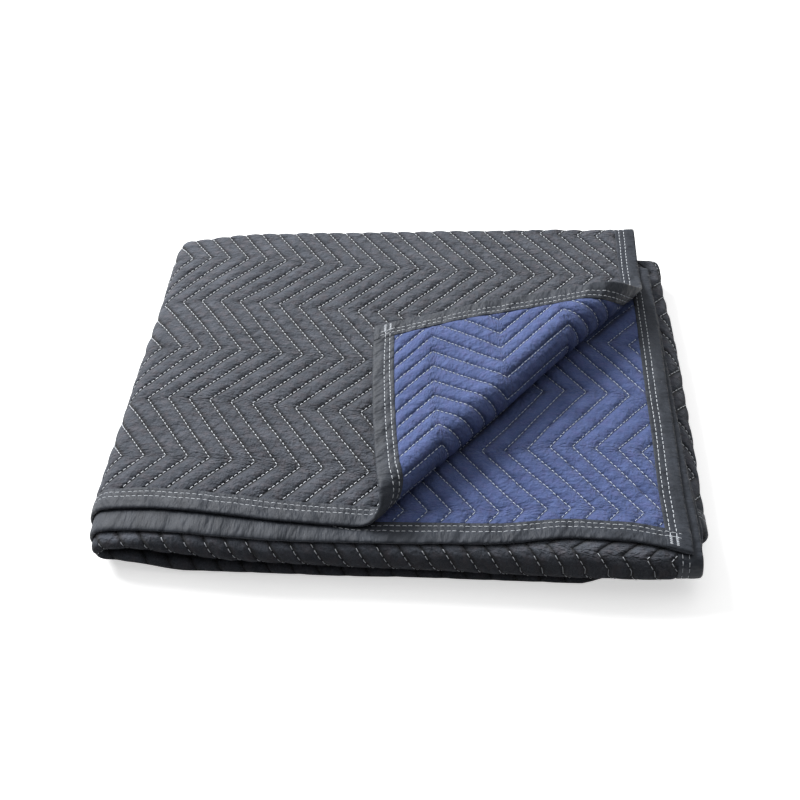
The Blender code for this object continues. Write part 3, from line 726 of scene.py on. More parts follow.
def make_piece(name: str, points: Array, faces: Array, flat: Array,
               material: bpy.types.Material) -> bpy.types.Object:
    """Makes a smoothly shaded object at the origin from points and faces.

    Args:
        name: The piece's name.
        points: Points in the shared frame, one in a row.
        faces: Corner numbers, one face in a row, all with the same number of corners.
        flat: Flat coordinates of each point, kept as a UV map in metres.
        material: The finish.

    Returns:
        The object, linked to the scene.
    """
    mesh = bpy.data.meshes.new(name)
    corners = faces.shape[1]
    mesh.vertices.add(len(points))
    mesh.vertices.foreach_set("co", np.ascontiguousarray(points, dtype=np.float32).ravel())
    mesh.loops.add(faces.size)
    mesh.loops.foreach_set("vertex_index", faces.astype(np.int32).ravel())
    mesh.polygons.add(len(faces))
    mesh.polygons.foreach_set("loop_start", np.arange(0, faces.size, corners, dtype=np.int32))
    mesh.polygons.foreach_set("use_smooth", np.full(len(faces), True))
    layer = mesh.uv_layers.new(name="flat")
    layer.data.foreach_set("uv", flat[faces.ravel()].astype(np.float32).ravel())
    mesh.update(calc_edges=True)
    mesh.validate()
    mesh.materials.append(material)
    piece = bpy.data.objects.new(name, mesh)
    bpy.context.scene.collection.objects.link(piece)
    return piece


class NodeSheet:
    """Short ways to lay out the nodes of one shader or one group."""

    def __init__(self, tree: bpy.types.NodeTree) -> None:
        """Keeps the tree that the nodes go into."""
        self.tree = tree

    def add(self, kind: str, **inputs: object) -> bpy.types.Node:
        """Adds a node and sets or links its inputs.

        Args:
            kind: Blender's name of the node type.
            **inputs: Values or sockets by input name, with underscores for blanks, or node settings with a
                leading set_.

        Returns:
            The node.
        """
        node = self.tree.nodes.new(kind)
        for key, value in inputs.items():
            if key.startswith("set_"):
                setattr(node, key[4:], value)
        for key, value in inputs.items():
            if key.startswith("set_"):
                continue
            numbered = key.startswith("in") and key[2:].isdigit()
            socket = node.inputs[int(key[2:]) if numbered else key.replace("_", " ")]
            if isinstance(value, bpy.types.NodeSocket):
                self.tree.links.new(value, socket)
            else:
                socket.default_value = value
        return node

    def math(self, operation: str, *values: object) -> bpy.types.NodeSocket:
        """Adds a Math node over numbers or sockets and gives its result."""
        inputs = {f"in{k}": value for k, value in enumerate(values)}
        return self.add("ShaderNodeMath", set_operation=operation, **inputs).outputs[0]

    def stretched(self, vector: object, along: float, across: float) -> bpy.types.NodeSocket:
        """Scales flat coordinates along each axis, so that a pattern on them is drawn out."""
        return self.add("ShaderNodeMapping", Vector=vector, Scale=(along, across, 1.0)).outputs[0]

    def ramp(self, value: object, low: float, high: float) -> bpy.types.NodeSocket:
        """Goes evenly from 0 to 1 as the value goes from low to high."""
        return self.add("ShaderNodeMapRange", Value=value, From_Min=low, From_Max=high).outputs[0]

    def blend(self, share: object, first: object, second: object) -> bpy.types.NodeSocket:
        """Mixes two colours by a share and gives the result."""
        node = self.add("ShaderNodeMix", set_data_type="RGBA", in0=share, in6=first, in7=second)
        return node.outputs[2]

    def noise(self, vector: object, scale: float, detail: float = 2.0,
              rough: float = 0.5) -> bpy.types.NodeSocket:
        """Adds a noise texture and gives its value."""
        node = self.add("ShaderNodeTexNoise", Vector=vector, Scale=scale, Detail=detail, Roughness=rough)
        return node.outputs["Fac"]


class SharedEffects:
    """Shader node groups that several finishes use."""

    def __init__(self, quilting: Quilting) -> None:
        """Builds the groups once.

        Args:
            quilting: Sizes of the zigzag quilting.
        """
        self.quilting = quilting
        self.seams = self.build_seams()
        self.fibre = self.build_fibre()

    @staticmethod
    def new_group(name: str, inputs: dict[str, str], outputs: dict[str, str]) -> bpy.types.NodeTree:
        """Makes an empty group with named sockets.

        Args:
            name: The group's name.
            inputs: Socket types by input name.
            outputs: Socket types by output name.

        Returns:
            The group.
        """
        tree = bpy.data.node_groups.new(name, "ShaderNodeTree")
        for key, kind in inputs.items():
            tree.interface.new_socket(key, in_out="INPUT", socket_type=kind)
        for key, kind in outputs.items():
            tree.interface.new_socket(key, in_out="OUTPUT", socket_type=kind)
        return tree

    def build_seams(self) -> bpy.types.NodeTree:
        """Group that marks the zigzag stitch lines and the small gathers beside them.

        Seam is exp(-0.42 d^1.3) of the distance d in millimetres from a line set a seam offset beside the
        stitches. The cloth finishes use it to sink the valley in their bump, and as painted shade that
        darkens their colour there. Gather is a ripple that dies away from the stitches, less the creases at
        the bends.

        Returns:
            The group.
        """
        q = self.quilting
        tree = self.new_group("zigzag_seams", {"Flat": "NodeSocketVector"},
                              {"Seam": "NodeSocketFloat", "Gather": "NodeSocketFloat"})
        sheet = NodeSheet(tree)
        source = sheet.add("NodeGroupInput")
        split = sheet.add("ShaderNodeSeparateXYZ", Vector=source.outputs["Flat"])
        u, v = split.outputs[0], split.outputs[1]
        even = sheet.math("DIVIDE", sheet.math("SUBTRACT", v, q.first_row), q.row)
        whole = q.spread_places[-1]
        spread = sheet.add("ShaderNodeFloatCurve", Value=sheet.math("DIVIDE", v, whole))
        self.set_curve(spread, [place / whole for place in q.spread_places],
                       [1.0 + amount for amount in q.spreads])
        phase = sheet.math("ADD", even, sheet.math("SUBTRACT", spread.outputs[0], 1.0))
        wave = sheet.math("ABSOLUTE", sheet.math("SUBTRACT", sheet.math(
            "FLOORED_MODULO", sheet.math("ADD", phase, 1.0), 2.0), 1.0))
        swing = sheet.math("MULTIPLY_ADD", wave, q.swing, -0.5 * q.swing)
        all_rows = 1.0 + q.offset_rows[-1]
        row_share = sheet.math("DIVIDE", sheet.math("ADD", even, 1.0), all_rows)
        steps = sheet.add("ShaderNodeFloatCurve", Value=row_share)
        self.set_curve(steps, [(row + 1.0) / all_rows for row in q.offset_rows],
                       [0.5 + 20.0 * offset for offset in q.offsets])
        drift = sheet.math("MULTIPLY_ADD", steps.outputs[0], 0.05, -0.025)
        line = sheet.math("DIVIDE", sheet.math("SUBTRACT", sheet.math("SUBTRACT", u, swing), drift), q.pitch)
        signed = sheet.math("SUBTRACT", line, sheet.math("ROUND", line))
        apart = q.pitch * q.slant / MM
        distance = sheet.math("MULTIPLY", sheet.math("ABSOLUTE", signed), apart)
        offset_distance = sheet.math("ABSOLUTE", sheet.math("MULTIPLY_ADD", signed, apart, q.seam_offset / MM))
        seam = sheet.math("EXPONENT", sheet.math("MULTIPLY", sheet.math("POWER", offset_distance, 1.3), -0.42))
        reach = sheet.math("EXPONENT", sheet.math("MULTIPLY", distance, -0.30))
        ripple = sheet.math("SINE", sheet.math("MULTIPLY", v, 2.0 * math.pi / (q.stitch * q.slant)))
        crinkle = sheet.noise(source.outputs["Flat"], 230.0, 2.0, 0.6)
        fine = sheet.math("MULTIPLY", reach, sheet.math("ADD", sheet.math(
            "MULTIPLY", ripple, 0.30), sheet.math("MULTIPLY_ADD", crinkle, 2.0, -1.0)))
        bend = sheet.math("MULTIPLY", sheet.math("ABSOLUTE", sheet.math(
            "SUBTRACT", phase, sheet.math("ROUND", phase))), q.row / MM)
        close = sheet.math("EXPONENT", sheet.math("MULTIPLY", sheet.math("POWER", bend, 2.0), -0.012))
        drawn = sheet.noise(sheet.stretched(source.outputs["Flat"], 0.34, 1.0), 210.0, 2.0, 0.55)
        crease = sheet.math("SUBTRACT", 1.0, sheet.math("MINIMUM", sheet.math(
            "MULTIPLY", sheet.math("ABSOLUTE", sheet.math("SUBTRACT", drawn, 0.5)), 9.0), 1.0))
        creased = sheet.math("MULTIPLY", sheet.math("MULTIPLY", crease, close), 1.1)
        gather = sheet.math("SUBTRACT", fine, creased)
        out = sheet.add("NodeGroupOutput")
        tree.links.new(seam, out.inputs["Seam"])
        tree.links.new(gather, out.inputs["Gather"])
        return tree

    @staticmethod
    def set_curve(node: bpy.types.Node, places: list[float], values: list[float]) -> None:
        """Gives a Float Curve node straight stretches between points.

        Args:
            node: The node.
            places: Rising places of the points.
            values: The curve's value at each point.
        """
        curve = node.mapping.curves[0]
        while len(curve.points) < len(places):
            curve.points.new(0.5, 0.5)
        for point, place, value in zip(curve.points, places, values):
            point.location = (place, value)
            point.handle_type = "VECTOR"
        node.mapping.update()

    def build_fibre(self) -> bpy.types.NodeTree:
        """Group that gives cloth its fine fibres, pale lint and slow changes of tone.

        Returns:
            The group.
        """
        tree = self.new_group(
            "cloth_fibre",
            {"Flat": "NodeSocketVector", "Dark": "NodeSocketColor", "Light": "NodeSocketColor",
             "Lint": "NodeSocketColor", "Lint amount": "NodeSocketFloat", "Mottle": "NodeSocketColor",
             "Mottle amount": "NodeSocketFloat"},
            {"Color": "NodeSocketColor", "Height": "NodeSocketFloat"})
        sheet = NodeSheet(tree)
        source = sheet.add("NodeGroupInput")
        flat = source.outputs["Flat"]
        fine = sheet.noise(sheet.stretched(flat, 1.0, 0.35), 1900.0, 2.0, 0.65)
        crossed = sheet.noise(sheet.stretched(flat, 0.4, 1.0), 1500.0, 2.0, 0.65)
        patch = sheet.noise(flat, 38.0, 3.0, 0.6)
        grain = sheet.math("MULTIPLY", sheet.math("ADD", fine, crossed), 0.5)
        tone = sheet.math("ADD", sheet.math("MULTIPLY", grain, 0.7), sheet.math("MULTIPLY", patch, 0.45))
        colour = sheet.blend(sheet.ramp(tone, 0.36, 0.80), source.outputs["Dark"], source.outputs["Light"])
        blotch = sheet.ramp(sheet.noise(flat, 85.0, 3.0, 0.65), 0.46, 0.72)
        colour = sheet.blend(sheet.math("MULTIPLY", blotch, source.outputs["Mottle amount"]), colour,
                             source.outputs["Mottle"])
        speck = sheet.ramp(sheet.noise(flat, 640.0, 1.0, 0.5), 0.70, 0.80)
        colour = sheet.blend(sheet.math("MULTIPLY", speck, source.outputs["Lint amount"]), colour,
                             source.outputs["Lint"])
        out = sheet.add("NodeGroupOutput")
        tree.links.new(colour, out.inputs["Color"])
        tree.links.new(grain, out.inputs["Height"])
        return tree


@dataclass(frozen=True)
class ClothFinish:
    """Matte cloth of the quilt's faces, darkened along the seam valleys by painted shade."""

    name: str
    dark: tuple[float, float, float, float]
    light: tuple[float, float, float, float]
    lint: tuple[float, float, float, float]
    lint_amount: float
    mottle: tuple[float, float, float, float]
    mottle_amount: float
    # Share by which painted shade darkens the colour along the seams.
    painted_seam_shade: float
    seam_depth: float
    roughness: float = 0.92
    specular: float = 0.25
    sheen: float = 0.10
    sheen_roughness: float = 0.6
    bump: float = 1.0
    coarse_depth: float = 0.0013
    fine_depth: float = 0.00045
    gather_share: float = 0.55
    soft_share: float = 3.2

    def build(self, effects: SharedEffects) -> bpy.types.Material:
        """Makes the material from the shared groups.

        Args:
            effects: The shared shader node groups.

        Returns:
            The material.
        """
        material, sheet, shader = start_material(self.name)
        flat = sheet.add("ShaderNodeUVMap", set_uv_map="flat").outputs[0]
        fibre = sheet.add("ShaderNodeGroup", set_node_tree=effects.fibre, Flat=flat, Dark=self.dark,
                          Light=self.light, Lint=self.lint, Lint_amount=self.lint_amount,
                          Mottle=self.mottle, Mottle_amount=self.mottle_amount)
        seams = sheet.add("ShaderNodeGroup", set_node_tree=effects.seams, Flat=flat)
        # Painted shade: the colour is pulled towards a darker copy of the dark tone in the valleys beside the
        # stitches.
        painted_shade = sheet.math("MULTIPLY", seams.outputs["Seam"], self.painted_seam_shade)
        colour = sheet.blend(painted_shade, fibre.outputs["Color"], tuple(0.35 * c for c in self.dark[:3]) + (1.0,))
        soft = sheet.noise(flat, 95.0, 4.0, 0.62)
        height = sheet.math("ADD", sheet.math("MULTIPLY", seams.outputs["Gather"], self.gather_share),
                            sheet.math("MULTIPLY", soft, self.soft_share))
        seam = sheet.math("MULTIPLY", seams.outputs["Seam"], self.seam_depth)
        height = sheet.math("SUBTRACT", height, seam)
        coarse = sheet.add("ShaderNodeBump", Strength=1.0, Distance=self.coarse_depth * self.bump,
                           Height=height)
        fine = sheet.add("ShaderNodeBump", Strength=0.8, Distance=self.fine_depth,
                         Height=fibre.outputs["Height"], Normal=coarse.outputs[0])
        links = sheet.tree.links
        links.new(colour, shader.inputs["Base Color"])
        links.new(fine.outputs[0], shader.inputs["Normal"])
        shader.inputs["Roughness"].default_value = self.roughness
        shader.inputs["Specular IOR Level"].default_value = self.specular
        shader.inputs["Sheen Weight"].default_value = self.sheen
        shader.inputs["Sheen Roughness"].default_value = self.sheen_roughness
        return material


@dataclass(frozen=True)
class TapeFinish:
    """Smooth ribbed tape of the bindings."""

    name: str
    dark: tuple[float, float, float, float]
    light: tuple[float, float, float, float]
    lint: tuple[float, float, float, float]
    lint_amount: float = 0.25
    mottle_amount: float = 0.3
    roughness: float = 0.62
    specular: float = 0.35
    sheen: float = 0.06
    pucker_depth: float = 0.0024
    drag_share: float = 2.4
    drag_slant: float = 0.6
    rib_scale: float = 260.0
    rib_depth: float = 0.00022

    def build(self, effects: SharedEffects) -> bpy.types.Material:
        """Makes the material; its ribs run across the tape.

        Args:
            effects: The shared shader node groups.

        Returns:
            The material.
        """
        material, sheet, shader = start_material(self.name)
        flat = sheet.add("ShaderNodeUVMap", set_uv_map="flat").outputs[0]
        fibre = sheet.add("ShaderNodeGroup", set_node_tree=effects.fibre, Flat=flat, Dark=self.dark,
                          Light=self.light, Lint=self.lint, Lint_amount=self.lint_amount,
                          Mottle=self.light, Mottle_amount=self.mottle_amount)
        ribs = sheet.add("ShaderNodeTexWave", Vector=flat, Scale=self.rib_scale, Distortion=0.6, Detail=1.0,
                         Detail_Scale=2.0, set_bands_direction="X")
        puckers = sheet.noise(sheet.stretched(flat, 1.0, 0.40), 150.0, 3.0, 0.6)
        slanted = sheet.add("ShaderNodeMapping", Vector=flat, Rotation=(0.0, 0.0, self.drag_slant),
                            Scale=(1.0, 3.0, 1.0), set_vector_type="TEXTURE").outputs[0]
        drags = sheet.noise(slanted, 55.0, 2.0, 0.5)
        puckers = sheet.math("MULTIPLY_ADD", drags, self.drag_share, puckers)
        coarse = sheet.add("ShaderNodeBump", Strength=1.0, Distance=self.pucker_depth, Height=puckers)
        fine = sheet.add("ShaderNodeBump", Strength=0.25, Distance=self.rib_depth,
                         Height=ribs.outputs["Fac"], Normal=coarse.outputs[0])
        links = sheet.tree.links
        links.new(fibre.outputs["Color"], shader.inputs["Base Color"])
        links.new(fine.outputs[0], shader.inputs["Normal"])
        shader.inputs["Roughness"].default_value = self.roughness
        shader.inputs["Specular IOR Level"].default_value = self.specular
        shader.inputs["Sheen Weight"].default_value = self.sheen
        return material


@dataclass(frozen=True)
class ThreadFinish:
    """Off-white spun sewing thread."""

    name: str
    dark: tuple[float, float, float, float]
    light: tuple[float, float, float, float]
    roughness: float = 0.6
    sheen: float = 0.2

    def build(self) -> bpy.types.Material:
        """Makes the material, a little uneven in tone along the thread.

        Returns:
            The material.
        """
        material, sheet, shader = start_material(self.name)
        place = sheet.add("ShaderNodeTexCoord").outputs["Object"]
        tone = sheet.noise(place, 420.0, 2.0, 0.6)
        colour = sheet.blend(tone, self.dark, self.light)
        sheet.tree.links.new(colour, shader.inputs["Base Color"])
        shader.inputs["Roughness"].default_value = self.roughness
        shader.inputs["Sheen Weight"].default_value = self.sheen
        return material


def start_material(name: str) -> tuple[bpy.types.Material, NodeSheet, bpy.types.Node]:
    """Makes a material that holds only a Principled shader and its output.

    Args:
        name: The material's name.

    Returns:
        The material, the means to add to its nodes, and its shader.
    """
    material = bpy.data.materials.new(name)
    material.use_nodes = True
    tree = material.node_tree
    tree.nodes.clear()
    sheet = NodeSheet(tree)
    shader = sheet.add("ShaderNodeBsdfPrincipled")
    out = sheet.add("ShaderNodeOutputMaterial")
    tree.links.new(shader.outputs[0], out.inputs["Surface"])
    return material, sheet, shader


@dataclass
class QuiltedCloth:
    """One of the quilt's two faces, as a single sheet of cloth with its quilting raised."""

    plan: FoldPlan
    quilting: Quilting
    side: Side
    face: float
    under_tape: float
    thin_margin: float = 0.0225
    full_margin: float = 0.0300
    crinkle: float = 0.00032
    crinkle_cell: tuple[float, float] = (0.011, 0.013)
    ruffle_cell: tuple[float, float] = (0.031, 0.027)
    pulled_flat: float = 0.55
    pulled_places: tuple[float, float] = (1.040, 1.150)
    pulled_run: float = 0.020
    flap_width: float = 0.34
    uncovered_length: float = 0.40
    columns: tuple[int, ...] = ()
    rows: tuple[int, ...] = ()
    open_width: float = 0.36
    open_start: float = 0.44
    open_end: float = 0.36

    def height(self, u: Array, v: Array) -> Array:
        """Height of the face at flat points.

        Between the tapes it is the face's own height with the quilting's relief and a fine crinkle, and it
        goes down evenly to its height under the tape.

        Args:
            u: Places across the width.
            v: Places along the length.

        Returns:
            The signed height w.
        """
        to_second = (self.plan.length - v) / self.plan.slack(u)
        inside = np.minimum(np.minimum(u, self.plan.width - u), np.minimum(v, to_second))
        share = smooth_step((inside - self.thin_margin) / (self.full_margin - self.thin_margin))
        relief = self.quilting.relief(u, v) * self.fullness(v)
        covered = self.covered(u, v)
        relief = np.where(covered, np.minimum(relief, 0.0), relief)
        (du, dv), (wide_u, wide_v) = self.crinkle_cell, self.ruffle_cell
        rough = self.crinkle * (CRINKLES.at(u / du, v / dv) + 0.8 * RUFFLES.at(u / wide_u, v / wide_v))
        rough = np.where(covered, 0.0, rough)
        full = self.face + relief + rough
        return self.side.value * (self.under_tape + (full - self.under_tape) * share)

    def fullness(self, v: Array) -> Array:
        """Share of the relief that is left: the black face is pulled flatter round the front roll.

        Args:
            v: Places along the length.

        Returns:
            Factor on the relief.
        """
        first, last = self.pulled_places
        pulled = smooth_step((v - first) / self.pulled_run) - smooth_step((v - last) / self.pulled_run)
        return 1.0 - self.pulled_flat * pulled * (self.side is Side.BLACK)

    def covered(self, u: Array, v: Array) -> Array:
        """Whether the face lies against another layer, so that nothing may stand above it.

        Args:
            u: Places across the width.
            v: Places along the length.

        Returns:
            True where the face is covered.
        """
        _, v2, _, v4, v5, *_ = self.plan.fold_places(u)
        if self.side is Side.BLACK:
            outside = (v < v2) & (u < self.plan.right_end)
            roll = (v > v4) & (v < v5) & (u < self.plan.left_turn)
            return ~(outside | roll)
        flap = (v < self.plan.corner_length) & (u < self.flap_width)
        bare = (v > self.plan.length - self.uncovered_length) & (u < self.open_width)
        return ~(flap | bare)

    def build(self, name: str, material: bpy.types.Material) -> bpy.types.Object:
        """Makes the sheet.

        Args:
            name: The piece's name.
            material: The finish.

        Returns:
            The cloth object.
        """
        grid = FlatGrid(self.plan, self.columns, self.rows, self.open_width, self.open_start, self.open_end)
        u, v = grid.build()
        points = self.plan.place(u, v, self.height(u, v))
        faces = grid_faces(*u.shape, flip=self.side is Side.BLUE)
        flat = np.stack([u.ravel(), v.ravel()], axis=1)
        return make_piece(name, points.reshape(-1, 3), faces, flat, material)


CRINKLES = Noise(21)
RUFFLES = Noise(22)
PUCKERS = Noise(23)


@dataclass
class Binding:
    """One length of tape, folded round an edge of the blanket and sewn with two rows of stitches."""

    plan: FoldPlan
    edge: Edge
    width: float = 0.025
    rows: tuple[float, float] = (0.0135, 0.0200)
    top: float = 0.00235
    under: float = -0.00240
    thickness: float = 0.0009
    overlap_rise: float = 0.0007
    overlap: float = 0.0245
    dip: float = 0.00045
    dip_reach: float = 0.0011
    swell: float = 0.00030
    raw_edge_dip: float = 0.0004
    fold_reach: tuple[float, float] = (0.0006, 0.0022)
    fold_height: float = 0.93
    pucker_height: float = 0.00095
    slow_pucker: float = 0.00030
    wobble: float = 0.0004
    end_cap: float = 0.0009
    end_height: float = 0.55

    @property
    def is_end(self) -> bool:
        """Whether the tape runs across the width, at one end of the blanket."""
        return self.edge in (Edge.TOP_END, Edge.SECOND_END)

    @property
    def tacked_first(self) -> bool:
        """Whether the seam's back-tacks are where the tape begins; otherwise they are where it ends."""
        return self.edge in (Edge.TOP_END, Edge.INNER_SIDE)

    def profile(self) -> Array:
        """Cross-section as rows of (distance in from the edge, height), from raw edge to raw edge.

        Each leg dips at its two stitch rows and swells between them and towards the fold, which is a half
        ellipse.

        Returns:
            The section's points.
        """
        e = np.array([25.0, 24.6, 23.2, 21.6, 20.0, 18.4, 16.8, 15.2, 13.5, 11.8, 9.0, 6.0, 3.0, 1.0]) * MM
        dip = sum(np.exp(-(((e - row) / self.dip_reach) ** 2)) for row in self.rows)
        swell = self.swell * np.exp(-(((e - 0.0085) / 0.005) ** 2)) - self.dip * dip
        swell = swell - self.raw_edge_dip * np.clip((e - 0.0240) / 0.001, 0.0, 1.0)
        turn = np.radians([55.0, 25.0, 0.0, -25.0, -55.0])
        middle, half = 0.5 * (self.top + self.under), 0.5 * (self.top - self.under)
        leg = np.stack([e, self.top + swell], axis=1)
        other = np.stack([e[::-1], (self.under - swell)[::-1]], axis=1)
        inner, deep = self.fold_reach
        fold = np.stack([inner - deep * np.cos(turn),
                         middle + half * self.fold_height * np.sin(turn)], axis=1)
        first = np.array([[self.width, self.top - self.thickness]])
        last = np.array([[self.width, self.under + self.thickness]])
        return np.concatenate([first, leg, fold, other, last])

    def lines(self, inward: Array) -> Array:
        """Places along the tape, for each point of the section, that follow the folds it crosses.

        Args:
            inward: Distances in from the edge of the section's points.

        Returns:
            An array with a row for each ring of the tape.
        """
        p = self.plan
        if self.is_end:
            shift = np.full_like(inward, 0.0 if self.edge is Edge.TOP_END else p.stagger_d)
            grid = FlatGrid(p, (120, 84, 26, 130, 20, 100), (1,) * 11, open_width=0.36, open_start=0.1,
                            open_end=0.1)
            return np.array(grid.across(shift))
        u = inward if self.edge is Edge.RIGHT_SIDE else p.width - inward
        grid = FlatGrid(p, (1,) * 6, (150, 20, 16, 90, 12, 20, 12, 80, 10, 40, 90), open_width=0.36,
                        open_start=0.44, open_end=0.30)
        return np.array(grid.along(u))

    def flat(self, along: Array, inward: Array) -> tuple[Array, Array]:
        """Flat coordinates of places along the tape and in from its edge.

        Args:
            along: Places along the tape.
            inward: Distances in from the edge.

        Returns:
            Places across the blanket's width and along its length.
        """
        p = self.plan
        if self.edge is Edge.TOP_END:
            return along, inward + 0.0 * along
        if self.edge is Edge.SECOND_END:
            return along, p.length - inward + 0.0 * along
        if self.edge is Edge.RIGHT_SIDE:
            return inward + 0.0 * along, along
        return p.width - inward + 0.0 * along, along

    def total(self) -> float:
        """Length of the edge that the tape binds."""
        return self.plan.width if self.is_end else self.plan.length

    def pucker(self, along: Array, inward: Array, height: Array) -> Array:
        """Small unevenness of the tape's height, strongest near its stitch rows.

        Args:
            along: Places along the tape.
            inward: Distances in from the edge.
            height: Heights above the middle of the quilt, of which only the sign counts.

        Returns:
            The height to add.
        """
        near = np.exp(-(((inward - 0.012) / 0.010) ** 2))
        seed = 10.0 * list(Edge).index(self.edge)
        drag = along + 0.25 * inward
        wave = PUCKERS.at(drag / 0.0065 + seed, inward / 0.016 + np.sign(height) * 3.0)
        patches = PUCKERS.at(along / 0.055 + seed + 1.0, 0.0 * inward + 2.5)
        amount = 0.35 + 0.65 * smooth_step(0.5 + 1.2 * patches)
        slow = PUCKERS.at(along / 0.030 + seed + 5.0, inward / 0.03)
        return np.sign(height) * (self.pucker_height * near * amount * wave + self.slow_pucker * slow)

    def surface(self, along: Array, inward: Array, height: Array) -> Array:
        """Places of points of the tape.

        Where a side tape crosses the ends' tapes it lies on top of them, a little further from the quilt.

        Args:
            along: Places along the tape.
            inward: Distances in from the edge.
            height: Heights above the middle of the quilt.

        Returns:
            Points in the shared frame.
        """
        wobble = self.wobble * PUCKERS.at(along / 0.045 + 2.0, 0.0 * inward + 4.5)
        extra = self.pucker(along, inward, height)
        if self.edge is Edge.SECOND_END:
            inward = inward * self.plan.slack(along)
        if not self.is_end:
            to_end = np.minimum(along, self.total() - along)
            over = 1.0 - smooth_step((to_end - self.overlap) / 0.004)
            height = height + np.sign(height) * self.overlap_rise * over
            inward = inward - 0.0006 * over * (inward < 0.001)
        u, v = self.flat(along, inward + wobble)
        return self.plan.place(u, v, height + extra)

    def build(self, material: bpy.types.Material) -> bpy.types.Object:
        """Makes the tape as a band carried along the edge, closed at both ends.

        Args:
            material: The finish.

        Returns:
            The tape object.
        """
        section = self.profile()
        inward, height = section[:, 0], section[:, 1]
        along = self.lines(inward)
        along = np.concatenate([along[:1] - self.end_cap, along, along[-1:] + self.end_cap])
        heights = np.tile(height, (len(along), 1))
        middle = 0.5 * (self.top + self.under)
        for end in (0, -1):
            heights[end] = middle + self.end_height * (heights[end] - middle)
        heights = np.concatenate([middle + 0.0 * heights[:1], heights, middle + 0.0 * heights[-1:]])
        along = np.concatenate([along[:1], along, along[-1:]])
        points = self.surface(along, np.tile(inward, (len(along), 1)), heights)
        faces = grid_faces(*along.shape, flip=self.edge in (Edge.TOP_END, Edge.INNER_SIDE))
        around = np.cumsum(np.r_[0.0, np.hypot(np.diff(inward), np.diff(height))])
        flat = np.stack([along.ravel(), np.tile(around, len(along))], axis=1)
        return make_piece(self.edge.value + "_tape", points.reshape(-1, 3), faces, flat, material)


@dataclass
class Thread:
    """Rows of separate stitches, each a short arched length of thread with its ends in the cloth."""

    radius: float = 0.00052
    sides: int = 5
    arch: float = 0.00075
    sink: float = -0.00010
    flatness: float = 0.75
    ring_places: tuple[float, ...] = (0.0, 0.22, 0.78, 1.0)
    ring_sizes: tuple[float, ...] = (0.75, 1.0, 1.0, 0.75)
    normal_step: float = 0.0008
    parts: list[Array] = field(default_factory=list)

    def sew(self, place: Callable[[Array, Array, Array], Array], start: Array, end: Array,
            height: Callable[[Array, Array], Array], side: float) -> None:
        """Adds stitches between pairs of flat points.

        Four rings are set along each stitch, the outer two sunk into the cloth and the inner two arched over
        it.  The ring's axes are the surface's normal and the cross product of normal and run.

        Args:
            place: Function of two flat coordinates and a height that gives points in the shared frame.
            start: Flat coordinates where the stitches begin, one in a row.
            end: Flat coordinates where they end.
            height: Function of the flat coordinates that gives the surface's signed height.
            side: 1 on the black side and -1 on the blue side.
        """
        if len(start) == 0:
            return
        share = np.array(self.ring_places)[None, :, None]
        flat = start[:, None, :] * (1.0 - share) + end[:, None, :] * share
        off = np.array([-self.sink, self.arch, self.arch, -self.sink])[None, :]
        a, b = flat[..., 0], flat[..., 1]
        w = height(a, b)
        centre = place(a, b, w + side * off)
        normal = place(a, b, w + side * (off + self.normal_step)) - centre
        normal /= np.linalg.norm(normal, axis=-1, keepdims=True)
        run = np.gradient(centre, axis=1)
        run /= np.maximum(np.linalg.norm(run, axis=-1, keepdims=True), 1.0e-9)
        across = np.cross(run, normal)
        across /= np.maximum(np.linalg.norm(across, axis=-1, keepdims=True), 1.0e-9)
        turn = 2.0 * math.pi * np.arange(self.sides) / self.sides
        ring = (np.cos(turn)[:, None] * across[..., None, :] + self.flatness * np.sin(turn)[:, None]
                * normal[..., None, :])
        size = self.radius * np.array(self.ring_sizes)[None, :, None, None]
        self.parts.append(centre[..., None, :] + size * ring)

    def build(self, name: str, material: bpy.types.Material) -> bpy.types.Object:
        """Joins all the stitches into one piece.

        Args:
            name: The piece's name.
            material: The finish.

        Returns:
            The object with all the stitches.
        """
        rings = np.concatenate(self.parts)
        count, steps, sides = rings.shape[:3]
        k, s = np.meshgrid(np.arange(steps - 1), np.arange(sides), indexing="ij")
        after = (s + 1) % sides
        quad = np.stack([k * sides + s, k * sides + after, (k + 1) * sides + after, (k + 1) * sides + s],
                        axis=-1)
        faces = (np.arange(count)[:, None, None] * steps * sides + quad.reshape(1, -1, 4)).reshape(-1, 4)
        points = rings.reshape(-1, 3)
        return make_piece(name, points, faces, points[:, :2], material)


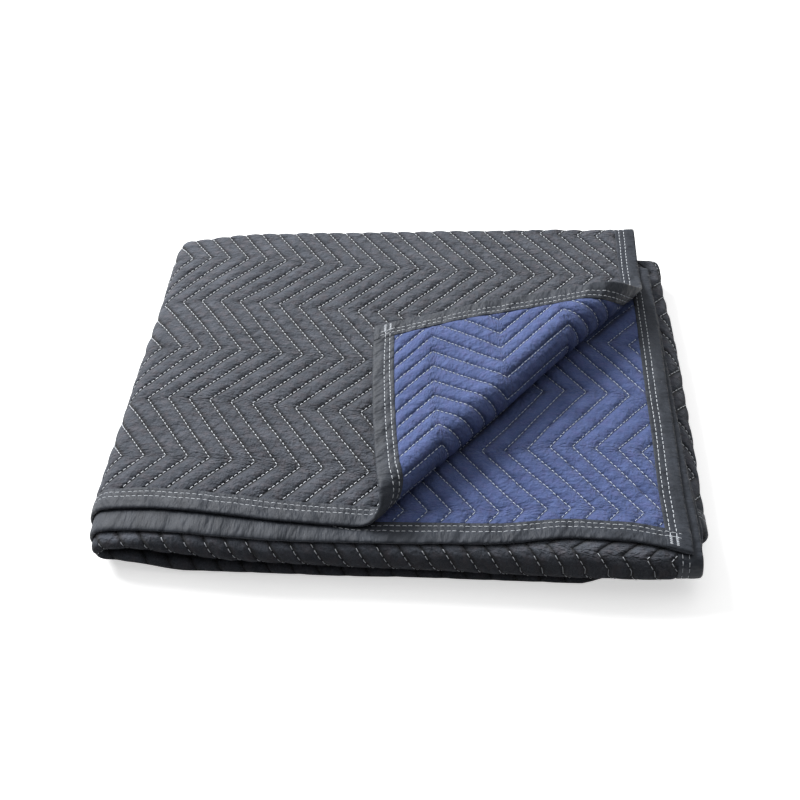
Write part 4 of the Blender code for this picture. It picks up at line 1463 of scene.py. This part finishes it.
@dataclass
class ZigzagSewing:
    """The quilting thread on one face of the blanket."""

    cloth: QuiltedCloth
    gap_slack: float = 0.34
    gap_open: float = 0.28
    unevenness: float = 0.035
    wander: float = 0.00012
    missed: float = 0.006

    def lines(self, u_range: tuple[float, float], v_range: tuple[float, float],
              rng: np.random.Generator) -> tuple[Array, Array]:
        """Cuts the zigzag lines of an area into stitches.

        Each straight run between two bends holds a whole number of stitches, and part of each stitch's pitch
        is left open.

        Args:
            u_range: Limits across the width.
            v_range: Limits along the length.
            rng: Source of the small irregularities.

        Returns:
            Flat start and end points of the stitches.
        """
        q = self.cloth.quilting
        run = math.hypot(q.row, q.swing)
        count = int(round(run / q.stitch))
        first = int(math.floor(float(q.rows_at(v_range[0])))) - 1
        last = int(math.ceil(float(q.rows_at(v_range[1])))) + 1
        low = int(math.floor((u_range[0] - 0.02 - 0.5 * q.swing) / q.pitch))
        high = int(math.ceil((u_range[1] + 0.02 + 0.5 * q.swing) / q.pitch))
        row, line, k = np.meshgrid(np.arange(first, last), np.arange(low, high + 1), np.arange(count),
                                   indexing="ij")
        row, line, k = row.ravel(), line.ravel(), k.ravel()
        rising = (row % 2) == 0
        open_share = np.where(rising & (self.cloth.side is Side.BLACK), self.gap_slack, self.gap_open)
        jitter = rng.normal(0.0, self.unevenness, len(k))
        begin = (k + 0.5 * open_share + jitter) / count
        finish = (k + 1.0 - 0.5 * open_share + jitter) / count
        v0, v1 = q.place_of(row + begin), q.place_of(row + finish)
        middle = line * q.pitch + rng.normal(0.0, self.wander, len(k))
        start = np.stack([middle + q.offset(v0) + q.zigzag(v0), v0], axis=1)
        end = np.stack([middle + q.offset(v1) + q.zigzag(v1), v1], axis=1)
        centre = 0.5 * (start + end)
        keep = ((centre[:, 0] > u_range[0]) & (centre[:, 0] < u_range[1])
                & (centre[:, 1] > v_range[0]) & (centre[:, 1] < v_range[1])
                & (rng.random(len(k)) > self.missed))
        return start[keep], end[keep]


@dataclass
class Blanket:
    """The whole blanket: two cloths, four tapes and all the thread."""

    plan: FoldPlan
    quilting: Quilting = field(default_factory=Quilting)
    edge_of_quilting: float = 0.0265
    pulled_thread: float = 0.00040
    blue_thread: float = 0.00037
    past_turn: float = 0.01
    past_roll: tuple[float, float] = (0.010, 0.004)
    past_back: float = 0.012
    blue_width: float = 0.36
    blue_end: float = 0.42
    tape_pitch: float = 0.0066
    tape_gap: float = 0.0008
    tape_thread: float = 0.00040
    tape_arch: float = 0.00035
    tape_sink: float = 0.00025
    tape_groove: float = 0.00045
    crossing_rise: float = 0.0009
    crossing_width: float = 0.0250
    tacked_end: float = 0.0130
    plain_end: float = 0.0035
    tack_start: float = 0.0025
    tack_room: float = 0.0150
    tack_pitch: float = 0.00125
    tack_swing: float = 0.0017
    tack_points: int = 11
    tack_levels: tuple[float, float] = (0.0008, -0.0002)

    def build(self) -> dict[str, bpy.types.Object]:
        """Returns:
            The pieces by name.
        """
        effects = SharedEffects(self.quilting)
        # The shares 0.85 and 0.45 are painted shade along the seams of the black and the blue cloth.
        black = ClothFinish("black_cloth_finish", (0.017, 0.022, 0.030, 1.0), (0.121, 0.134, 0.165, 1.0),
                            (0.42, 0.43, 0.45, 1.0), 0.16, (0.112, 0.098, 0.111, 1.0), 0.55,
                            0.85, 2.0, bump=1.60).build(effects)
        blue = ClothFinish("blue_cloth_finish", (0.037, 0.062, 0.166, 1.0), (0.119, 0.166, 0.370, 1.0),
                           (0.50, 0.53, 0.66, 1.0), 0.16, (0.108, 0.106, 0.262, 1.0), 0.42,
                           0.45, 1.15, bump=1.25).build(effects)
        tape = TapeFinish("black_tape_finish", (0.012, 0.015, 0.021, 1.0), (0.050, 0.059, 0.077, 1.0),
                          (0.30, 0.31, 0.33, 1.0)).build(effects)
        thread = ThreadFinish("thread_finish", (0.60, 0.64, 0.70, 1.0), (0.87, 0.91, 0.97, 1.0)).build()
        pale_thread = ThreadFinish("pale_thread_finish", (0.56, 0.65, 0.82, 1.0),
                                   (0.82, 0.90, 0.99, 1.0)).build()
        upper = QuiltedCloth(self.plan, self.quilting, Side.BLACK, 0.00235, 0.00100,
                             columns=(126, 82, 26, 60, 16, 12), rows=(150, 26, 12, 12, 8, 18, 8, 10, 6, 8, 6))
        lower = QuiltedCloth(self.plan, self.quilting, Side.BLUE, 0.00235, 0.00120,
                             columns=(128, 12, 14, 16, 12, 10), rows=(156, 8, 10, 8, 6, 12, 6, 8, 6, 10, 126))
        pieces = {
            "black_cloth": upper.build("black_cloth", black),
            "blue_cloth": lower.build("blue_cloth", blue),
        }
        bindings = [Binding(self.plan, edge) for edge in Edge]
        for binding in bindings:
            pieces[binding.edge.value] = binding.build(tape)
        pieces["quilting_thread_black_side"] = self.sew_black(upper, thread)
        pieces["quilting_thread_blue_side"] = self.sew_blue(lower, pale_thread)
        pieces["binding_thread"] = self.sew_bindings(bindings, thread)
        self.declare(pieces)
        return pieces

    def sew_black(self, cloth: QuiltedCloth, material: bpy.types.Material) -> bpy.types.Object:
        """Sews the black face where it shows: the top, the folds round it and the front roll.

        Args:
            cloth: The black face.
            material: The thread's finish.

        Returns:
            The thread object.
        """
        p = self.plan
        rng = np.random.default_rng(31)
        sewing = ZigzagSewing(cloth)
        thread = Thread()
        inset = self.edge_of_quilting
        start, end = sewing.lines((inset, p.width - inset), (inset, p.length - inset), rng)
        u, v = (0.5 * (start + end)).T
        v1, v2, _, v4, v5, *_ = p.fold_places(u)
        roll_start, roll_end = v4 - self.past_roll[0], v5 - self.past_roll[1]
        around = (u < p.left_end + self.past_turn) & (v < v2)
        turned = (u > p.right_turn - self.past_turn) & (u < p.right_end) & (v < v2)
        roll = (u < p.left_end) & (v > roll_start) & (v < roll_end)
        low_back = (u > p.left_end) & (u < p.right_turn) & (v > v1 - self.past_back) & (v < v2)
        above = around | turned | low_back
        thread.sew(p.place, start[above], end[above], cloth.height, 1.0)
        thread.radius = self.pulled_thread
        thread.sew(p.place, start[roll], end[roll], cloth.height, 1.0)
        return thread.build("quilting_thread_black_side", material)

    def sew_blue(self, cloth: QuiltedCloth, material: bpy.types.Material) -> bpy.types.Object:
        """Sews the blue face where it shows: on the turned corner and on the layer that it uncovers.

        Args:
            cloth: The blue face.
            material: The thread's finish.

        Returns:
            The thread object.
        """
        p = self.plan
        rng = np.random.default_rng(32)
        sewing = ZigzagSewing(cloth)
        thread = Thread(radius=self.blue_thread)
        inset = self.edge_of_quilting
        start, end = sewing.lines((inset, self.blue_width), (inset, p.length - inset), rng)
        u, v = (0.5 * (start + end)).T
        _, d = p.corner_place(p.right_edge - u, p.front_of_a + v)
        flap = (v < p.corner_length) & (d > 0.0)
        shown = flap | (v > p.length - self.blue_end)
        thread.sew(p.place, start[shown], end[shown], cloth.height, -1.0)
        return thread.build("quilting_thread_blue_side", material)

    def sew_bindings(self, bindings: list[Binding], material: bpy.types.Material) -> bpy.types.Object:
        """Sews two rows of stitches along both legs of every tape, and the back-tacks at the corners.

        Args:
            bindings: The tapes.
            material: The thread's finish.

        Returns:
            The thread object.
        """
        rng = np.random.default_rng(33)
        thread = Thread(radius=self.tape_thread, arch=self.tape_arch, sink=self.tape_sink)
        pitch, gap = self.tape_pitch, self.tape_gap
        for binding in bindings:
            total = binding.total()
            spare_first, spare_last = self.plain_end, self.tacked_end
            if binding.tacked_first:
                spare_first, spare_last = spare_last, spare_first
            count = int(total / pitch)
            for row in binding.rows:
                k = np.arange(count)
                jitter = rng.normal(0.0, 0.0003, count)
                first = k * pitch + gap + jitter
                last = (k + 1) * pitch - gap + jitter
                line = row + 0.0005 * PUCKERS.at(k * pitch / 0.07, 0.0 * k + 7.0 * row / MM)
                keep = (first > spare_first) & (last < total - spare_last)
                start = np.stack([first, line], axis=1)[keep]
                end = np.stack([last, line + rng.normal(0.0, 0.0001, count)], axis=1)[keep]
                for side, level in ((1.0, binding.top), (-1.0, binding.under)):
                    groove = level - side * self.tape_groove
                    rise = side * self.crossing_rise * binding.is_end
                    thread.sew(binding.surface, start, end, lambda a, b, g=groove, r=rise, t=total: (
                        g + r * (np.minimum(a, t - a) < self.crossing_width)), side)
            self.back_tack(binding, thread, rng)
        return thread.build("binding_thread", material)

    def back_tack(self, binding: Binding, thread: Thread, rng: np.random.Generator) -> None:
        """Packs short slanted stitches over the rows where a seam ends, at one corner of each tape.

        Args:
            binding: The tape.
            thread: The thread that the stitches are added to.
            rng: Source of the small irregularities.
        """
        low = self.tack_start if binding.tacked_first else binding.total() - self.tack_room
        count = self.tack_points
        along = low + self.tack_pitch * np.arange(count)
        swing = self.tack_swing * (-1.0) ** np.arange(count)
        for row in binding.rows:
            start = np.stack([along[:-1], row + swing[:-1]], axis=1)
            uneven = rng.normal(0.0, 0.0002, count - 1)
            end = np.stack([along[1:] + uneven, row + swing[1:]], axis=1)
            for side, level in ((1.0, binding.top), (-1.0, binding.under)):
                height = level + side * self.tack_levels[0 if binding.is_end else 1]
                thread.sew(binding.surface, start, end, lambda a, b, g=height: g + 0.0 * a, side)

    def declare(self, pieces: dict[str, bpy.types.Object]) -> None:
        """Attaches every piece to the root body, and hides the imported parts that the cloths and tapes stand
        for.

        Args:
            pieces: The pieces by name.
        """
        for piece in pieces.values():
            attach(piece, "root")
        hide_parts("black_face")
        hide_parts("blue_face")
        for edge in Edge:
            piece = pieces[edge.value]
            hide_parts(edge.value)


@dataclass(frozen=True)
class Studio:
    """Pale floor, soft light and the camera."""

    eye: tuple[float, float, float] = (0.0508, -0.964, 0.9584)
    pitch: float = math.radians(45.0)
    yaw: float = math.radians(3.7)
    lens: float = 49.5
    floor_size: float = 40.0
    floor_drop: float = 0.0004
    floor_tones: tuple[float, float, float] = (0.91, 0.93, 0.10)
    floor_glow: float = 0.57
    glow_fall: float = 0.60
    bounced_share: float = 0.95
    overhead_power: float = 2.2
    towards_back: float = 1.3
    overhead_strength: float = 0.95
    least_strength: float = 0.010
    lamps: tuple[tuple[str, str, tuple[float, float, float], float, float], ...] = (
        # name,          kind,   place,              spread, power
        ("window_light", "SUN",  (-2.30, 1.6, 2.20), 0.35,   2.35),
        ("side_lamp",    "AREA", (-0.95, 1.1, 0.95), 0.80,  26.00),
    )

    def build(self, shift: Array) -> None:
        """Adds the floor, the lights and the camera, and shows light as it is, with no film curve.

        Args:
            shift: How far the pile's own frame moves to the shared frame.
        """
        self.add_floor()
        self.add_lights()
        bpy.context.scene.view_settings.view_transform = "Standard"
        c, s = math.cos(self.pitch), math.sin(self.pitch)
        forward = Vector((-math.sin(self.yaw) * c, math.cos(self.yaw) * c, -s))
        right = Vector((math.cos(self.yaw), math.sin(self.yaw), 0.0))
        up = right.cross(forward)
        data = bpy.data.cameras.new("camera")
        data.lens = self.lens
        data.sensor_width = 36.0
        camera = bpy.data.objects.new("camera", data)
        turn = Matrix((right, up, -forward)).transposed().to_4x4()
        camera.matrix_world = Matrix.Translation(Vector(self.eye) + Vector(shift)) @ turn
        bpy.context.scene.collection.objects.link(camera)
        bpy.context.scene.camera = camera

    def add_floor(self) -> None:
        """Adds a wide pale floor just under the pile, which throws little light back on to it."""
        size = self.floor_size
        points = np.array([[size * a, size * b, -self.floor_drop]
                           for a, b in ((-1, -1), (1, -1), (1, 1), (-1, 1))])
        material, sheet, shader = start_material("floor_finish")
        dark, light, dim = ((tone,) * 3 + (1.0,) for tone in self.floor_tones)
        mottle = sheet.noise(sheet.add("ShaderNodeTexCoord").outputs["Object"], 1.5)
        colour = sheet.blend(mottle, dark, light)
        bounced = sheet.math("MULTIPLY", sheet.add("ShaderNodeLightPath").outputs["Is Diffuse Ray"],
                             self.bounced_share)
        colour = sheet.blend(bounced, colour, dim)
        sheet.tree.links.new(colour, shader.inputs["Base Color"])
        shader.inputs["Emission Color"].default_value = (1.0, 1.0, 1.0, 1.0)
        glow = sheet.math("MULTIPLY_ADD", bounced, -self.glow_fall, self.floor_glow)
        sheet.tree.links.new(glow, shader.inputs["Emission Strength"])
        shader.inputs["Roughness"].default_value = 0.9
        material.cycles.emission_sampling = "NONE"
        floor = make_piece("floor", points, np.array([[0, 1, 2, 3]]), points[:, :2], material)
        floor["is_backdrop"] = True

    def add_lights(self) -> None:
        """Adds a pale world that is brightest overhead and behind, and two soft lights at the back left.

        The world's strength in a direction is the overhead strength times z^power times (1 + gain y), plus
        the least strength, and it is 1 where the camera sees it.
        """
        world = bpy.data.worlds.new("studio")
        bpy.context.scene.world = world
        world.use_nodes = True
        background = world.node_tree.nodes["Background"]
        background.inputs[0].default_value = (1.0, 1.0, 1.0, 1.0)
        sheet = NodeSheet(world.node_tree)
        way = sheet.add("ShaderNodeSeparateXYZ", Vector=sheet.add("ShaderNodeTexCoord").outputs["Generated"])
        overhead = sheet.math("POWER", sheet.math("MAXIMUM", way.outputs[2], 0.0), self.overhead_power)
        behind = sheet.math("MULTIPLY_ADD", way.outputs[1], self.towards_back, 1.0)
        behind = sheet.math("MAXIMUM", behind, 0.0)
        overhead = sheet.math("MULTIPLY_ADD", sheet.math("MULTIPLY", overhead, behind),
                              self.overhead_strength, self.least_strength)
        seen = sheet.add("ShaderNodeLightPath").outputs["Is Camera Ray"]
        world.node_tree.links.new(sheet.math("MAXIMUM", overhead, seen), background.inputs[1])
        for name, kind, place, spread, power in self.lamps:
            data = bpy.data.lights.new(name, kind)
            data.energy = power
            if kind == "SUN":
                data.angle = spread
            else:
                data.size = spread
            lamp = bpy.data.objects.new(name, data)
            lamp.location = place
            lamp.rotation_euler = (-Vector(place)).to_track_quat("-Z", "Y").to_euler()
            bpy.context.scene.collection.objects.link(lamp)


def box_numbers(box: object) -> list[list[float]]:
    """Lowest and highest corner of a box as plain lists."""
    return [[float(x) for x in corner] for corner in box]


def main() -> None:
    """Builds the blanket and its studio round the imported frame."""
    logging.basicConfig(level=logging.INFO)
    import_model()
    solids = box_numbers(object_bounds())
    plan = FoldPlan()
    plan.shift = np.array(solids[0]) - np.array(plan.solids_low)
    for piece in Blanket(plan).build().values():
        LOG.info("%s: %d faces", piece.name, len(piece.data.polygons))
    Studio().build(plan.shift)


if __name__ == "__main__":
    main()
